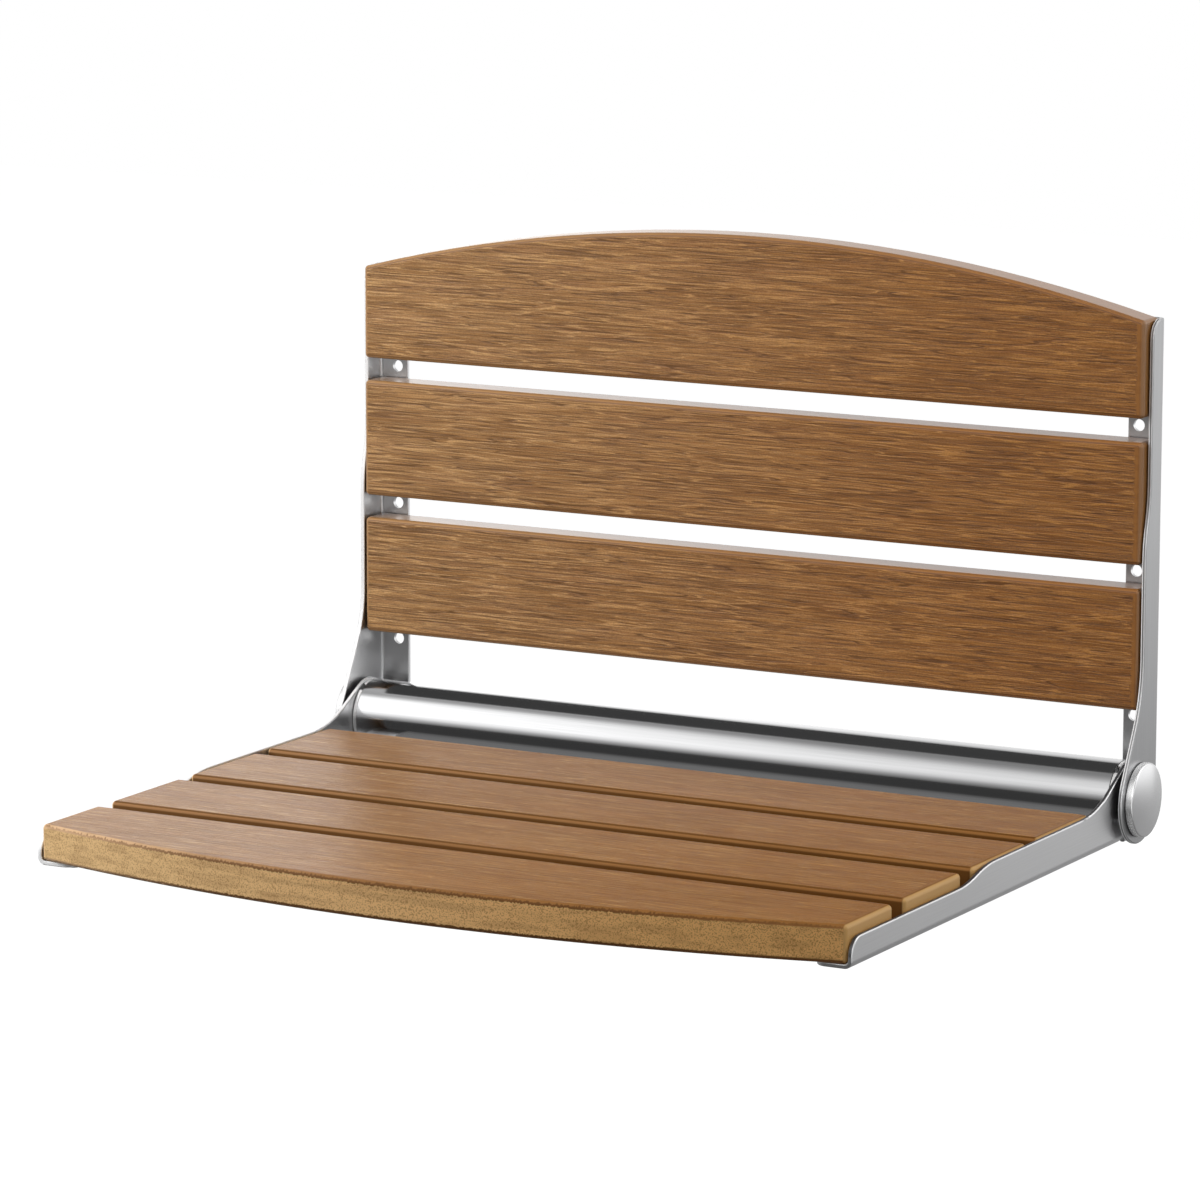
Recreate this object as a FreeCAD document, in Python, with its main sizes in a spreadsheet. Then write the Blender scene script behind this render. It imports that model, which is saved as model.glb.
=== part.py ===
import FreeCAD, Part
import math
import os

import Sketcher
from FreeCAD import Placement, Rotation, Vector

# A seat that folds up against a wall. Two sheet-metal wall brackets carry three back slats, a
# cross tube and the two pivot bolts. Two seat arms turn on the bolts and carry four seat slats.
#
# Millimetres. +Z is up, the wall is the plane Y = 0 and the seat faces -Y. X = 0 is the middle of
# the seat, and Z = 0 is the middle row of wall screw holes. The seat is modelled folded down.

DRIVING_SIZES = (
    ("half_width", 247.0, "centre plane to the outer face of a wall bracket"),
    ("plate_thickness", 2.5, "sheet metal of the brackets and arms"),
    ("bend_radius", 2.0, "inside radius of their bends"),
    ("bracket_flange", 20.5, "flange of a bracket, measured over the plate"),
    ("bracket_corner", 4.0, "radius of the free corners of that flange"),
    ("arm_flange", 22.0, "flange of an arm, measured over the plate"),
    ("arm_corner", 7.0, "radius of the free corners of that flange"),
    ("relief_width", 2.5, "notch in the web where a flange begins"),
    ("plate_corner", 10.0, "radius at the free end of a web"),
    ("plate_edge", 0.7, "rounding of the outline of brackets and arms, on both faces"),
    ("step_radius", 82.0, "both arcs of the step in a web"),
    ("sweep_radius", 78.0, "arc by which a web swells towards its hub"),
    ("sweep_angle", 28.0, "slope at which it meets the hub, in degrees"),
    ("slat_width", 67.0, "full slat"),
    ("slat_gap", 13.0, "space between slats"),
    ("slat_thickness", 20.0, "all slats"),
    ("slat_edge", 2.5, "rounding of the slat edges"),
    ("slat_end_gap", 0.8, "end of a slat to the web beside it"),
    ("end_slat_width", 53.0, "top back slat and front seat slat, at their ends"),
    ("bow_rise", 32.0, "how far the bow of those two stands out in the middle"),
    ("wall_hole", 6.6, "diameter of the wall screw holes"),
    ("hole_inset", 14.0, "outer face of a web to the holes in its flange"),
    ("back_slat_start", 48.0, "pivot to the lower edge of the lowest back slat"),
    ("fold_gap", 2.0, "between the back slats and the seat slats folded up"),
    ("hub_rim", 3.65, "least height of the bracket's hub over the tube"),
    ("hub_wall_gap", 0.2, "wall to the bracket's hub"),
    ("bracket_low", 16.5, "height of the bracket's web at the top"),
    ("bracket_high", 22.0, "and below the step"),
    ("bracket_step", 151.0, "pivot to the middle of that step"),
    ("bracket_flange_start", 9.0, "pivot to the lower end of its flange"),
    ("arm_gap", 2.5, "between bracket and arm"),
    ("arm_hub", 21.2, "radius of the arm's hub"),
    ("arm_low", 16.0, "height of the arm's web at the front"),
    ("arm_step", 195.5, "pivot to the middle of the arm's step"),
    ("arm_flange_start", 8.0, "least distance from pivot to the rear end of its flange"),
    ("flange_to_tube", 0.5, "between that end and the cross tube"),
    ("rear_slat_start", 48.5, "pivot to the rear edge of the rear seat slat"),
    ("screw_shank", 4.0, "diameter of the slat screws"),
    ("screw_bite", 14.0, "depth of a screw in its slat"),
    ("screw_head", 8.0, "diameter over the head"),
    ("countersink", 90.0, "angle of their countersunk heads, in degrees"),
    ("screw_edge", 14.0, "slat edge to the nearest screw"),
    ("pan_height", 2.4, "head of the screws under the seat"),
    ("tube_diameter", 41.3, "cross tube"),
    ("tube_wall", 2.0, "its wall"),
    ("ring_thickness", 2.2, "split ring at each end of the tube"),
    ("ring_width", 4.2, "its width from bore to rim"),
    ("ring_opening", 27.0, "angle between the centres of its two rounded tips, in degrees"),
    ("ring_angle", 47.0, "direction of the opening above the level, in degrees"),
    ("ring_edge", 0.4, "rounding of its edges"),
    ("plug_length", 14.0, "part of a plug inside the tube"),
    ("bolt_shoulder", 14.0, "diameter of the pivot bolt where the arm turns"),
    ("bolt_thread", 10.0, "diameter of its thread"),
    ("bolt_thread_length", 11.0, "length of its thread"),
    ("bolt_head", 23.0, "diameter of its head"),
    ("bolt_head_height", 3.2, "height of its head"),
    ("bolt_socket", 8.0, "across the flats of its hexagon socket"),
    ("socket_depth", 2.1, "depth of that socket"),
    ("bush_wall", 2.0, "wall of the plain bush"),
    ("bush_flange", 24.0, "diameter of its flange"),
    ("cap_diameter", 41.0, "end cap over the bolt head"),
    ("cap_height", 5.0, "bracket to the rim of the cap's face"),
    ("cap_edge", 0.9, "rounding of that rim"),
    ("cap_dome", 0.6, "rise of the face"),
    ("stop_pin", 5.0, "diameter of the pin that stops the arm"),
    ("stop_pin_gap", 0.8, "between that pin and the bush flange"),
    ("stop_angle", 46.0, "pin below the level, forward of the pivot, in degrees"),
    ("fold_angle", 90.0, "travel from seat down to seat up, in degrees"),
    ("fit_clearance", 0.05, "radial, between pieces fixed in each other"),
    ("running_clearance", 0.08, "radial, between the bolt and the bush that turns on it"),
    ("side_clearance", 0.3, "between faces that pass each other"),
)

# Lengths that follow from the driving sizes, as expressions for the features to use.
PITCH = "(Sizes.slat_width + Sizes.slat_gap)"
PIVOT_DROP = "(Sizes.back_slat_start + %s - Sizes.slat_gap / 2)" % PITCH
PIVOT_FROM_WALL = ("max(Sizes.plate_thickness + Sizes.slat_thickness + Sizes.fold_gap, "
                   "Sizes.tube_diameter / 2 + Sizes.hub_rim + Sizes.hub_wall_gap)")
WALL_HUB = "(%s - Sizes.hub_wall_gap)" % PIVOT_FROM_WALL
BACK_SLAT_LENGTH = "(2 * (Sizes.half_width - Sizes.plate_thickness - Sizes.slat_end_gap))"
ARM_FACE = "(Sizes.half_width - Sizes.plate_thickness - Sizes.arm_gap)"
ARM_INNER_FACE = "(Sizes.half_width - 2 * Sizes.plate_thickness - Sizes.arm_gap)"
SEAT_SLAT_LENGTH = "(2 * (%s - Sizes.slat_end_gap))" % ARM_INNER_FACE
BEND_OUTSIDE = "(Sizes.bend_radius + Sizes.plate_thickness)"
SEAT_DEPTH = "(Sizes.slat_thickness + Sizes.plate_thickness)"
BRACKET_LENGTH = "(Sizes.back_slat_start + 2 * %s + Sizes.end_slat_width)" % PITCH
ARM_LENGTH = "(Sizes.rear_slat_start + 3 * %s + Sizes.end_slat_width)" % PITCH
PLUG_FACE = "(%s - Sizes.side_clearance)" % ARM_INNER_FACE
TUBE_END = "(%s - Sizes.ring_thickness - Sizes.side_clearance)" % PLUG_FACE
RING_RADIUS = "(Sizes.tube_diameter / 2)"
ARM_FLANGE_START = ("sqrt(max((%s + Sizes.flange_to_tube)^2 - (%s - %s)^2, "
                    "Sizes.arm_flange_start^2))" % (RING_RADIUS, SEAT_DEPTH, BEND_OUTSIDE))
RING_BORE = "(%s - Sizes.ring_width)" % RING_RADIUS
PIN_RADIUS = "(Sizes.stop_pin / 2)"
STOP_CIRCLE = "(Sizes.bush_flange / 2 + Sizes.stop_pin_gap + %s)" % PIN_RADIUS
STOP_FORWARD = "%s * cos(Sizes.stop_angle)" % STOP_CIRCLE
STOP_DOWN = "%s * sin(Sizes.stop_angle)" % STOP_CIRCLE
BOLT_RADIUS = "(Sizes.bolt_shoulder / 2)"
BUSH_BORE = "(%s + Sizes.running_clearance)" % BOLT_RADIUS
BUSH_RADIUS = "(%s + Sizes.bush_wall)" % BUSH_BORE
SCREW_RADIUS = "(Sizes.screw_shank / 2)"
BOW_RADIUS = "((({0} / 2)^2 + Sizes.bow_rise^2) / (2 * Sizes.bow_rise))"

LEAST_CUT = 1e-6
EDGE_REACH = 0.05

ORIGIN_POINT = (-1, 1)
X_AXIS = -1
Y_AXIS = -2
START = 1
END = 2
CENTRE = 3

# How a body's own axes lie on the finished seat, as the world directions of its X, Y and Z.
BRACKET_AXES = (Vector(0, 0, 1), Vector(0, -1, 0), Vector(1, 0, 0))
ARM_AXES = (Vector(0, -1, 0), Vector(0, 0, 1), Vector(-1, 0, 0))
BACK_SLAT_AXES = (Vector(1, 0, 0), Vector(0, 0, 1), Vector(0, -1, 0))
SEAT_SLAT_AXES = (Vector(-1, 0, 0), Vector(0, -1, 0), Vector(0, 0, 1))
CROSS_AXES = (Vector(1, 0, 0), Vector(0, 1, 0), Vector(0, 0, 1))
RING_AXES = (Vector(0, -1, 0), Vector(0, 0, 1), Vector(-1, 0, 0))

document = FreeCAD.newDocument("FoldingWallSeat")
sheet = document.addObject("Spreadsheet::Sheet", "Sizes")
subparts = []


def fill_sheet():
    """Write the driving sizes into the sheet, one row each: value, then meaning."""
    for row, (alias, value, meaning) in enumerate(DRIVING_SIZES, start=1):
        cell = "A%d" % row
        sheet.set(cell, str(value))
        sheet.setAlias(cell, alias)
        sheet.set("B%d" % row, meaning)
    document.recompute()


def value_of(expression):
    """The number that an expression of sheet sizes stands for."""
    return float(sheet.evalExpression(str(expression)))


# ---------------------------------------------------------------- sketches


def new_body(label, axes, base):
    """A body whose axes lie along the given world directions, placed by three expressions."""
    body = document.addObject("PartDesign::Body", label)
    body.Label = label
    along_x, along_y, along_z = axes
    body.Placement = Placement(Vector(), Rotation(along_x, along_y, along_z, "ZXY"))
    for coordinate, expression in zip("xyz", base):
        body.setExpression(".Placement.Base." + coordinate, str(expression))
    subparts.append(body)
    return body


def new_sketch(body, name, plane, lift=None):
    """A sketch on one of the body's own origin planes, lifted off it along its normal."""
    sketch = body.newObject("Sketcher::SketchObject", name)
    support = next(item for item in body.Origin.OriginFeatures if item.Role == plane)
    sketch.AttachmentSupport = (support, [""])
    sketch.MapMode = "FlatFace"
    if lift is not None:
        sketch.setExpression(".AttachmentOffset.Base.z", lift)
    return sketch


def flat(point):
    """A sketch point as a vector."""
    return Vector(point[0], point[1], 0)


def add_line(sketch, start, end):
    return sketch.addGeometry(Part.LineSegment(flat(start), flat(end)), False)


def add_arc(sketch, centre, radius, first_angle, last_angle):
    """An arc that runs counter-clockwise between two angles in degrees."""
    circle = Part.Circle(flat(centre), Vector(0, 0, 1), radius)
    arc = Part.ArcOfCircle(circle, math.radians(first_angle), math.radians(last_angle))
    return sketch.addGeometry(arc, False)


def constrain(sketch, kind, *references):
    return sketch.addConstraint(Sketcher.Constraint(kind, *references))


def dimension(sketch, kind, references, expression):
    """Add a dimension that the sheet drives."""
    index = constrain(sketch, kind, *references, value_of(expression))
    sketch.setExpression("Constraints[%d]" % index, expression)


def pin_offset(sketch, kind, geometry, point, expression, sign=1):
    """Hold a point at a distance from the origin, to its positive or negative side."""
    there = (geometry, point)
    references = ORIGIN_POINT + there if sign > 0 else there + ORIGIN_POINT
    dimension(sketch, kind, references, expression)


def join(sketch, kind, first, second):
    """Make two ends meet, with a corner (Coincident) or smoothly (Tangent)."""
    constrain(sketch, kind, *first, *second)


def add_circle(sketch, x_expression, y_expression, radius_expression, x_sign=1, y_sign=1):
    """A circle at two driven offsets from the origin."""
    centre = (x_sign * value_of(x_expression), y_sign * value_of(y_expression))
    circle = Part.Circle(flat(centre), Vector(0, 0, 1), value_of(radius_expression))
    index = sketch.addGeometry(circle, False)
    dimension(sketch, "Radius", (index,), radius_expression)
    for kind, axis, expression, sign in (
        ("DistanceX", Y_AXIS, x_expression, x_sign),
        ("DistanceY", X_AXIS, y_expression, y_sign),
    ):
        if value_of(expression) == 0:
            constrain(sketch, "PointOnObject", index, CENTRE, axis)
        else:
            pin_offset(sketch, kind, index, CENTRE, expression, sign)
    return index


def add_polygon(sketch, corners, y_sign=1):
    """A closed polygon of driven corners. Equal neighbours share one dimension by being level."""
    numbers = [(value_of(x), y_sign * value_of(y)) for x, y in corners]
    count = len(corners)
    lines = [add_line(sketch, numbers[i], numbers[(i + 1) % count]) for i in range(count)]
    for i in range(count):
        join(sketch, "Coincident", (lines[i], END), (lines[(i + 1) % count], START))
    for i, (x, y) in enumerate(corners):
        for kind, level, axis, coordinate, sign in (
            ("DistanceX", "Vertical", Y_AXIS, 0, 1),
            ("DistanceY", "Horizontal", X_AXIS, 1, y_sign),
        ):
            expression = (x, y)[coordinate]
            if i > 0 and corners[i - 1][coordinate] == expression:
                constrain(sketch, level, lines[i - 1])
            elif value_of(expression) == 0:
                constrain(sketch, "PointOnObject", lines[i], START, axis)
            else:
                pin_offset(sketch, kind, lines[i], START, expression, sign)
    return lines


# ---------------------------------------------------------------- features


def new_feature(body, kind, name, sketch, reverse=False):
    feature = body.newObject("PartDesign::" + kind, name)
    feature.Profile = sketch
    feature.Reversed = reverse
    sketch.Visibility = False
    return feature


def pad(body, name, sketch, length, reverse=False, both_ways=False):
    """Extrude a sketch along its normal."""
    feature = new_feature(body, "Pad", name, sketch, reverse)
    feature.setExpression("Length", length)
    if both_ways:
        feature.SideType = "Symmetric"
    return feature


def cut(body, feature):
    """Recompute a cutting feature and make sure that it took something away."""
    before = feature.BaseFeature.Shape.Volume
    document.recompute()
    if feature.Shape.isNull() or feature.Shape.Volume >= before - LEAST_CUT:
        raise RuntimeError("%s in %s cuts nothing" % (feature.Name, body.Label))
    return feature


def pocket(body, name, sketch, depth=None, reverse=False):
    """Cut a sketch away to a depth, or right through on both sides."""
    document.recompute()
    feature = new_feature(body, "Pocket", name, sketch, reverse)
    if depth is None:
        feature.Type = "ThroughAll"
        feature.SideType = "Symmetric"
    else:
        feature.Type = "Length"
        feature.setExpression("Length", depth)
    return cut(body, feature)


def countersunk_holes(body, name, sketch, reverse=False):
    """Screw holes whose heads lie flush in the face that carries the sketch."""
    document.recompute()
    feature = new_feature(body, "Hole", name, sketch, reverse)
    feature.DepthType = "ThroughAll"
    feature.HoleCutType = "Countersink"
    feature.HoleCutCustomValues = True
    feature.setExpression("Diameter", "Sizes.screw_shank + 2 * Sizes.fit_clearance")
    feature.setExpression("HoleCutDiameter", "Sizes.screw_head + 2 * Sizes.fit_clearance")
    feature.setExpression("HoleCutCountersinkAngle", "Sizes.countersink")
    return cut(body, feature)


def edges_through(shape, points):
    """Names of the edges that pass through the given points."""
    names = []
    for point in points:
        probe = Part.Vertex(point)
        found = ["Edge%d" % (i + 1) for i, edge in enumerate(shape.Edges)
                 if edge.distToShape(probe)[0] < EDGE_REACH]
        if not found:
            raise RuntimeError("no edge passes through %s" % point)
        names.extend(found)
    return names


def fillet(body, name, base, radius, points=None):
    """Round every edge of a feature, or only those through the given points of the body."""
    document.recompute()
    feature = body.newObject("PartDesign::Fillet", name)
    if points is None:
        feature.Base = (base, [""])
        feature.UseAllEdges = True
    else:
        feature.Base = (base, edges_through(base.Shape, points))
    feature.setExpression("Radius", radius)
    base.Visibility = False
    return feature


def mirror_to_left(right, label):
    """The left-hand piece of a handed pair."""
    left = document.addObject("Part::Mirroring", label)
    left.Label = label
    left.Source = right
    left.Normal = Vector(1, 0, 0)
    left.Base = Vector(0, 0, 0)
    subparts.append(left)
    return left


def turned_body(label, profile, base):
    """A turned piece about its own X axis, from the driven corners (along, radius) of its half."""
    body = new_body(label, CROSS_AXES, base)
    sketch = new_sketch(body, label + "_profile", "XY_Plane")
    add_polygon(sketch, profile)
    revolution = new_feature(body, "Revolution", label + "_turned", sketch)
    revolution.ReferenceAxis = (sketch, ["H_Axis"])
    revolution.Angle = 360
    return body


# ---------------------------------------------------------------- bent side plates


class SidePlate:
    """A bracket or an arm: a flat web with a hub, and a flange bent off its base line.

    The body's X runs from the pivot to the free end, its Y from the base line up the web, and its
    web stands on the plane Z = 0, which is the face that looks away from the seat.
    """

    def __init__(self, label, axes, base, inboard, length, pivot, hub, low, high, step, start,
                 flange, corner):
        self.label = label
        self.inboard = inboard
        self.length = length
        self.pivot = pivot
        self.hub = hub
        self.low = low
        self.high = high
        self.step = step
        self.start = start
        self.flange = flange
        self.corner = corner
        self.body = new_body(label, axes, base)

    def build(self, bore):
        """Web, flange and rounded flange corners. Returns the body and its last feature."""
        web_sketch = new_sketch(self.body, self.label + "_web_outline", "XY_Plane")
        self.draw_outline(web_sketch)
        add_circle(web_sketch, "0", self.pivot, bore)
        pad(self.body, self.label + "_web", web_sketch, "Sizes.plate_thickness", self.inboard < 0)

        bend_sketch = new_sketch(self.body, self.label + "_bend_section", "YZ_Plane", self.start)
        self.draw_bend(bend_sketch)
        flange = pad(self.body, self.label + "_flange", bend_sketch,
                     "%s - %s" % (self.length, self.start))

        half_plate = value_of("Sizes.plate_thickness") / 2
        rim = self.inboard * value_of(self.flange)
        ends = (value_of(self.start), value_of(self.length))
        corners = [Vector(end, half_plate, rim) for end in ends]
        rounded = fillet(self.body, self.label + "_corners", flange, self.corner, corners)

        straight = (value_of(self.step) + value_of(self.length)) / 2
        faces = (0, 2 * self.inboard * half_plate)
        outline = [Vector(straight, value_of(self.low), face) for face in faces]
        return fillet(self.body, self.label + "_edges", rounded, "Sizes.plate_edge", outline)

    def draw_outline(self, sketch):
        """The web: base, free end, step, sweep, hub and heel, each smooth with the next."""
        length, pivot, hub = value_of(self.length), value_of(self.pivot), value_of(self.hub)
        low, high, step = value_of(self.low), value_of(self.high), value_of(self.step)
        bend = value_of(BEND_OUTSIDE)
        corner = value_of("Sizes.plate_corner")
        step_radius = value_of("Sizes.step_radius")
        sweep_radius = value_of("Sizes.sweep_radius")
        slope = value_of("Sizes.sweep_angle")
        notch = value_of(self.start) - value_of("Sizes.relief_width")
        sine, cosine = math.sin(math.radians(slope)), math.cos(math.radians(slope))

        turn = math.degrees(math.acos(1 - (high - low) / (2 * step_radius)))
        half_run = step_radius * math.sin(math.radians(turn))
        touch = (hub * sine, pivot + hub * cosine)
        swept = sweep_radius * (1 - cosine)
        sweep_end = (touch[0] + (touch[1] - high - swept) * cosine / sine, high + swept)
        sweep_start = sweep_end[0] + sweep_radius * sine

        base = add_line(sketch, (pivot - hub, 0), (notch, 0))
        relief = add_line(sketch, (notch, 0), (notch, bend))
        bend_line = add_line(sketch, (notch, bend), (length, bend))
        free_end = add_line(sketch, (length, bend), (length, low - corner))
        nose = add_arc(sketch, (length - corner, low - corner), corner, 0, 90)
        low_edge = add_line(sketch, (length - corner, low), (step + half_run, low))
        step_foot = add_arc(sketch, (step + half_run, low + step_radius), step_radius,
                            270 - turn, 270)
        step_head = add_arc(sketch, (step - half_run, high - step_radius), step_radius,
                            90 - turn, 90)
        high_edge = add_line(sketch, (step - half_run, high), (sweep_start, high))
        sweep = add_arc(sketch, (sweep_start, high + sweep_radius), sweep_radius,
                        270 - slope, 270)
        shoulder = add_line(sketch, sweep_end, touch)
        hub_arc = add_arc(sketch, (0, pivot), hub, 90 - slope, 180)
        heel = add_arc(sketch, (pivot - hub, pivot), pivot, 180, 270)

        for first, second in ((base, relief), (relief, bend_line), (bend_line, free_end)):
            join(sketch, "Coincident", (first, END), (second, START))
        for first, second in (
            ((free_end, END), (nose, START)),
            ((nose, END), (low_edge, START)),
            ((low_edge, END), (step_foot, END)),
            ((step_foot, START), (step_head, START)),
            ((step_head, END), (high_edge, START)),
            ((high_edge, END), (sweep, END)),
            ((sweep, START), (shoulder, START)),
            ((shoulder, END), (hub_arc, START)),
            ((hub_arc, END), (heel, START)),
            ((heel, END), (base, START)),
        ):
            join(sketch, "Tangent", first, second)
        for level in (base, bend_line, low_edge, high_edge):
            constrain(sketch, "Horizontal", level)
        for upright in (relief, free_end):
            constrain(sketch, "Vertical", upright)
        constrain(sketch, "PointOnObject", base, START, X_AXIS)
        constrain(sketch, "PointOnObject", hub_arc, CENTRE, Y_AXIS)
        constrain(sketch, "Horizontal", hub_arc, CENTRE, heel, CENTRE)
        constrain(sketch, "Equal", step_foot, step_head)

        pin_offset(sketch, "DistanceY", hub_arc, CENTRE, self.pivot)
        pin_offset(sketch, "DistanceX", base, END, "%s - Sizes.relief_width" % self.start)
        pin_offset(sketch, "DistanceY", bend_line, START, BEND_OUTSIDE)
        pin_offset(sketch, "DistanceX", free_end, START, self.length)
        pin_offset(sketch, "DistanceY", low_edge, START, self.low)
        pin_offset(sketch, "DistanceY", high_edge, START, self.high)
        pin_offset(sketch, "DistanceX", step_foot, START, self.step)
        pin_offset(sketch, "DistanceX", hub_arc, START, "%s * sin(Sizes.sweep_angle)" % self.hub)
        dimension(sketch, "Radius", (hub_arc,), self.hub)
        dimension(sketch, "Radius", (nose,), "Sizes.plate_corner")
        dimension(sketch, "Radius", (step_foot,), "Sizes.step_radius")
        dimension(sketch, "Radius", (sweep,), "Sizes.sweep_radius")

    def draw_bend(self, sketch):
        """The section across the flange, from its rim round the bend to the foot of the web."""
        side = self.inboard
        thickness = value_of("Sizes.plate_thickness")
        rim = side * value_of(self.flange)
        bend = value_of(BEND_OUTSIDE)
        inside = value_of("Sizes.bend_radius")
        quarter = (180, 270) if side > 0 else (90, 180)
        outer_foot, outer_back = (START, END) if side < 0 else (END, START)
        centre = (bend, side * bend)

        back = add_line(sketch, (0, side * bend), (0, rim))
        edge = add_line(sketch, (0, rim), (thickness, rim))
        front = add_line(sketch, (thickness, rim), (thickness, side * bend))
        inner = add_arc(sketch, centre, inside, *quarter)
        foot = add_line(sketch, (bend, side * thickness), (bend, 0))
        outer = add_arc(sketch, centre, bend, *quarter)

        join(sketch, "Coincident", (back, END), (edge, START))
        join(sketch, "Coincident", (edge, END), (front, START))
        join(sketch, "Tangent", (front, END), (inner, outer_back))
        join(sketch, "Coincident", (inner, outer_foot), (foot, START))
        join(sketch, "Coincident", (foot, END), (outer, outer_foot))
        join(sketch, "Tangent", (outer, outer_back), (back, START))
        constrain(sketch, "Coincident", inner, CENTRE, outer, CENTRE)
        constrain(sketch, "Vertical", back)
        constrain(sketch, "Vertical", front)
        constrain(sketch, "Vertical", foot)
        constrain(sketch, "Horizontal", edge)
        constrain(sketch, "PointOnObject", back, END, Y_AXIS)
        constrain(sketch, "PointOnObject", foot, END, X_AXIS)
        pin_offset(sketch, "DistanceY", edge, START, self.flange, side)
        pin_offset(sketch, "DistanceX", edge, END, "Sizes.plate_thickness")
        dimension(sketch, "Radius", (inner,), "Sizes.bend_radius")
        pin_offset(sketch, "DistanceX", foot, END, BEND_OUTSIDE)

    def flange_sketch(self, name, stations, radius):
        """Circles on the flange's back face, one at each distance from the pivot."""
        sketch = new_sketch(self.body, self.label + name, "XZ_Plane")
        for station in stations:
            add_circle(sketch, station, "Sizes.hole_inset", radius, y_sign=self.inboard)
        return sketch


def slat_stations(first_edge, widths):
    """Distances from the pivot to both screws of each slat in a row of slats."""
    stations = []
    for count, width in enumerate(widths):
        edge = "%s + %d * %s" % (first_edge, count, PITCH)
        stations.append("%s + Sizes.screw_edge" % edge)
        stations.append("%s + %s - Sizes.screw_edge" % (edge, width))
    return stations


BACK_EDGE = "Sizes.back_slat_start"
BACK_WIDTHS = ("Sizes.slat_width", "Sizes.slat_width", "Sizes.end_slat_width")
SEAT_WIDTHS = ("Sizes.slat_width", "Sizes.slat_width", "Sizes.slat_width", "Sizes.end_slat_width")


def build_wall_bracket():
    """Right wall bracket: flange to the wall, slats on the flange, pivot hub at the bottom."""
    bracket = SidePlate(
        "right_wall_bracket", BRACKET_AXES, ("Sizes.half_width", "0", "-" + PIVOT_DROP),
        inboard=-1, length=BRACKET_LENGTH, pivot=PIVOT_FROM_WALL, hub=WALL_HUB,
        low="Sizes.bracket_low", high="Sizes.bracket_high", step="Sizes.bracket_step",
        start="Sizes.bracket_flange_start", flange="Sizes.bracket_flange",
        corner="Sizes.bracket_corner")
    bracket.build("%s + Sizes.fit_clearance" % BOLT_RADIUS)

    rows = ["%s + %d * %s" % (PIVOT_DROP, row, PITCH) for row in (-1, 0, 1)]
    wall_holes = bracket.flange_sketch("_wall_hole_rows", rows, "Sizes.wall_hole / 2")
    pocket(bracket.body, "right_wall_bracket_wall_holes", wall_holes)

    stations = slat_stations(BACK_EDGE, BACK_WIDTHS)
    screw_holes = bracket.flange_sketch("_screw_rows", stations, SCREW_RADIUS)
    countersunk_holes(bracket.body, "right_wall_bracket_screw_holes", screw_holes)

    pin_sketch = new_sketch(bracket.body, "right_wall_bracket_pin_place", "XY_Plane")
    add_circle(pin_sketch, STOP_DOWN, "%s + %s" % (PIVOT_FROM_WALL, STOP_FORWARD),
               "%s + Sizes.fit_clearance" % PIN_RADIUS, x_sign=-1)
    pocket(bracket.body, "right_wall_bracket_pin_hole", pin_sketch)
    mirror_to_left(bracket.body, "left_wall_bracket")


def build_seat_arm():
    """Right seat arm: flange under the slats, hub on the pivot bolt, slot round the stop pin."""
    arm = SidePlate(
        "right_seat_arm", ARM_AXES,
        (ARM_FACE, "-" + PIVOT_FROM_WALL, "-%s - %s" % (PIVOT_DROP, SEAT_DEPTH)),
        inboard=1, length=ARM_LENGTH, pivot=SEAT_DEPTH, hub="Sizes.arm_hub",
        low="Sizes.arm_low", high=SEAT_DEPTH, step="Sizes.arm_step", start=ARM_FLANGE_START,
        flange="Sizes.arm_flange", corner="Sizes.arm_corner")
    arm.build("%s + Sizes.fit_clearance" % BUSH_RADIUS)

    stations = slat_stations("Sizes.rear_slat_start", SEAT_WIDTHS)
    screw_sketch = arm.flange_sketch("_screw_rows", stations,
                                     "%s + Sizes.fit_clearance" % SCREW_RADIUS)
    pocket(arm.body, "right_seat_arm_screw_holes", screw_sketch)

    slot_sketch = new_sketch(arm.body, "right_seat_arm_slot_outline", "XY_Plane")
    draw_stop_slot(slot_sketch)
    pocket(arm.body, "right_seat_arm_stop_slot", slot_sketch)
    mirror_to_left(arm.body, "left_seat_arm")


def draw_stop_slot(sketch):
    """A slot about the pivot that the fixed stop pin follows as the arm turns.

    In the arm's own X and Y the pin starts below and forward of the pivot, and the fold carries
    it backwards under the hub, so the slot spans the fold angle on the pin's circle.
    """
    pivot = value_of(SEAT_DEPTH)
    path = value_of(STOP_CIRCLE)
    half_slot = "%s + Sizes.side_clearance" % PIN_RADIUS
    reach = value_of(half_slot)
    first = -value_of("Sizes.stop_angle")
    last = first - value_of("Sizes.fold_angle")
    centre = (0, pivot)

    def on_path(angle):
        turn = math.radians(angle)
        return (path * math.cos(turn), pivot + path * math.sin(turn))

    outer = add_arc(sketch, centre, path + reach, last, first)
    front_end = add_arc(sketch, on_path(first), reach, first, first + 180)
    inner = add_arc(sketch, centre, path - reach, last, first)
    rear_end = add_arc(sketch, on_path(last), reach, last + 180, last + 360)
    join(sketch, "Tangent", (outer, END), (front_end, START))
    join(sketch, "Tangent", (front_end, END), (inner, END))
    join(sketch, "Tangent", (inner, START), (rear_end, START))
    join(sketch, "Tangent", (rear_end, END), (outer, START))
    constrain(sketch, "Coincident", outer, CENTRE, inner, CENTRE)
    constrain(sketch, "PointOnObject", outer, CENTRE, Y_AXIS)
    pin_offset(sketch, "DistanceY", outer, CENTRE, SEAT_DEPTH)
    dimension(sketch, "Radius", (outer,), "%s + %s" % (STOP_CIRCLE, half_slot))
    dimension(sketch, "Radius", (front_end,), half_slot)
    pin_offset(sketch, "DistanceX", front_end, CENTRE, STOP_FORWARD)
    pin_offset(sketch, "DistanceX", rear_end, CENTRE,
               "-%s * cos(Sizes.stop_angle + Sizes.fold_angle)" % STOP_CIRCLE, -1)


# ---------------------------------------------------------------- slats


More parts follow.
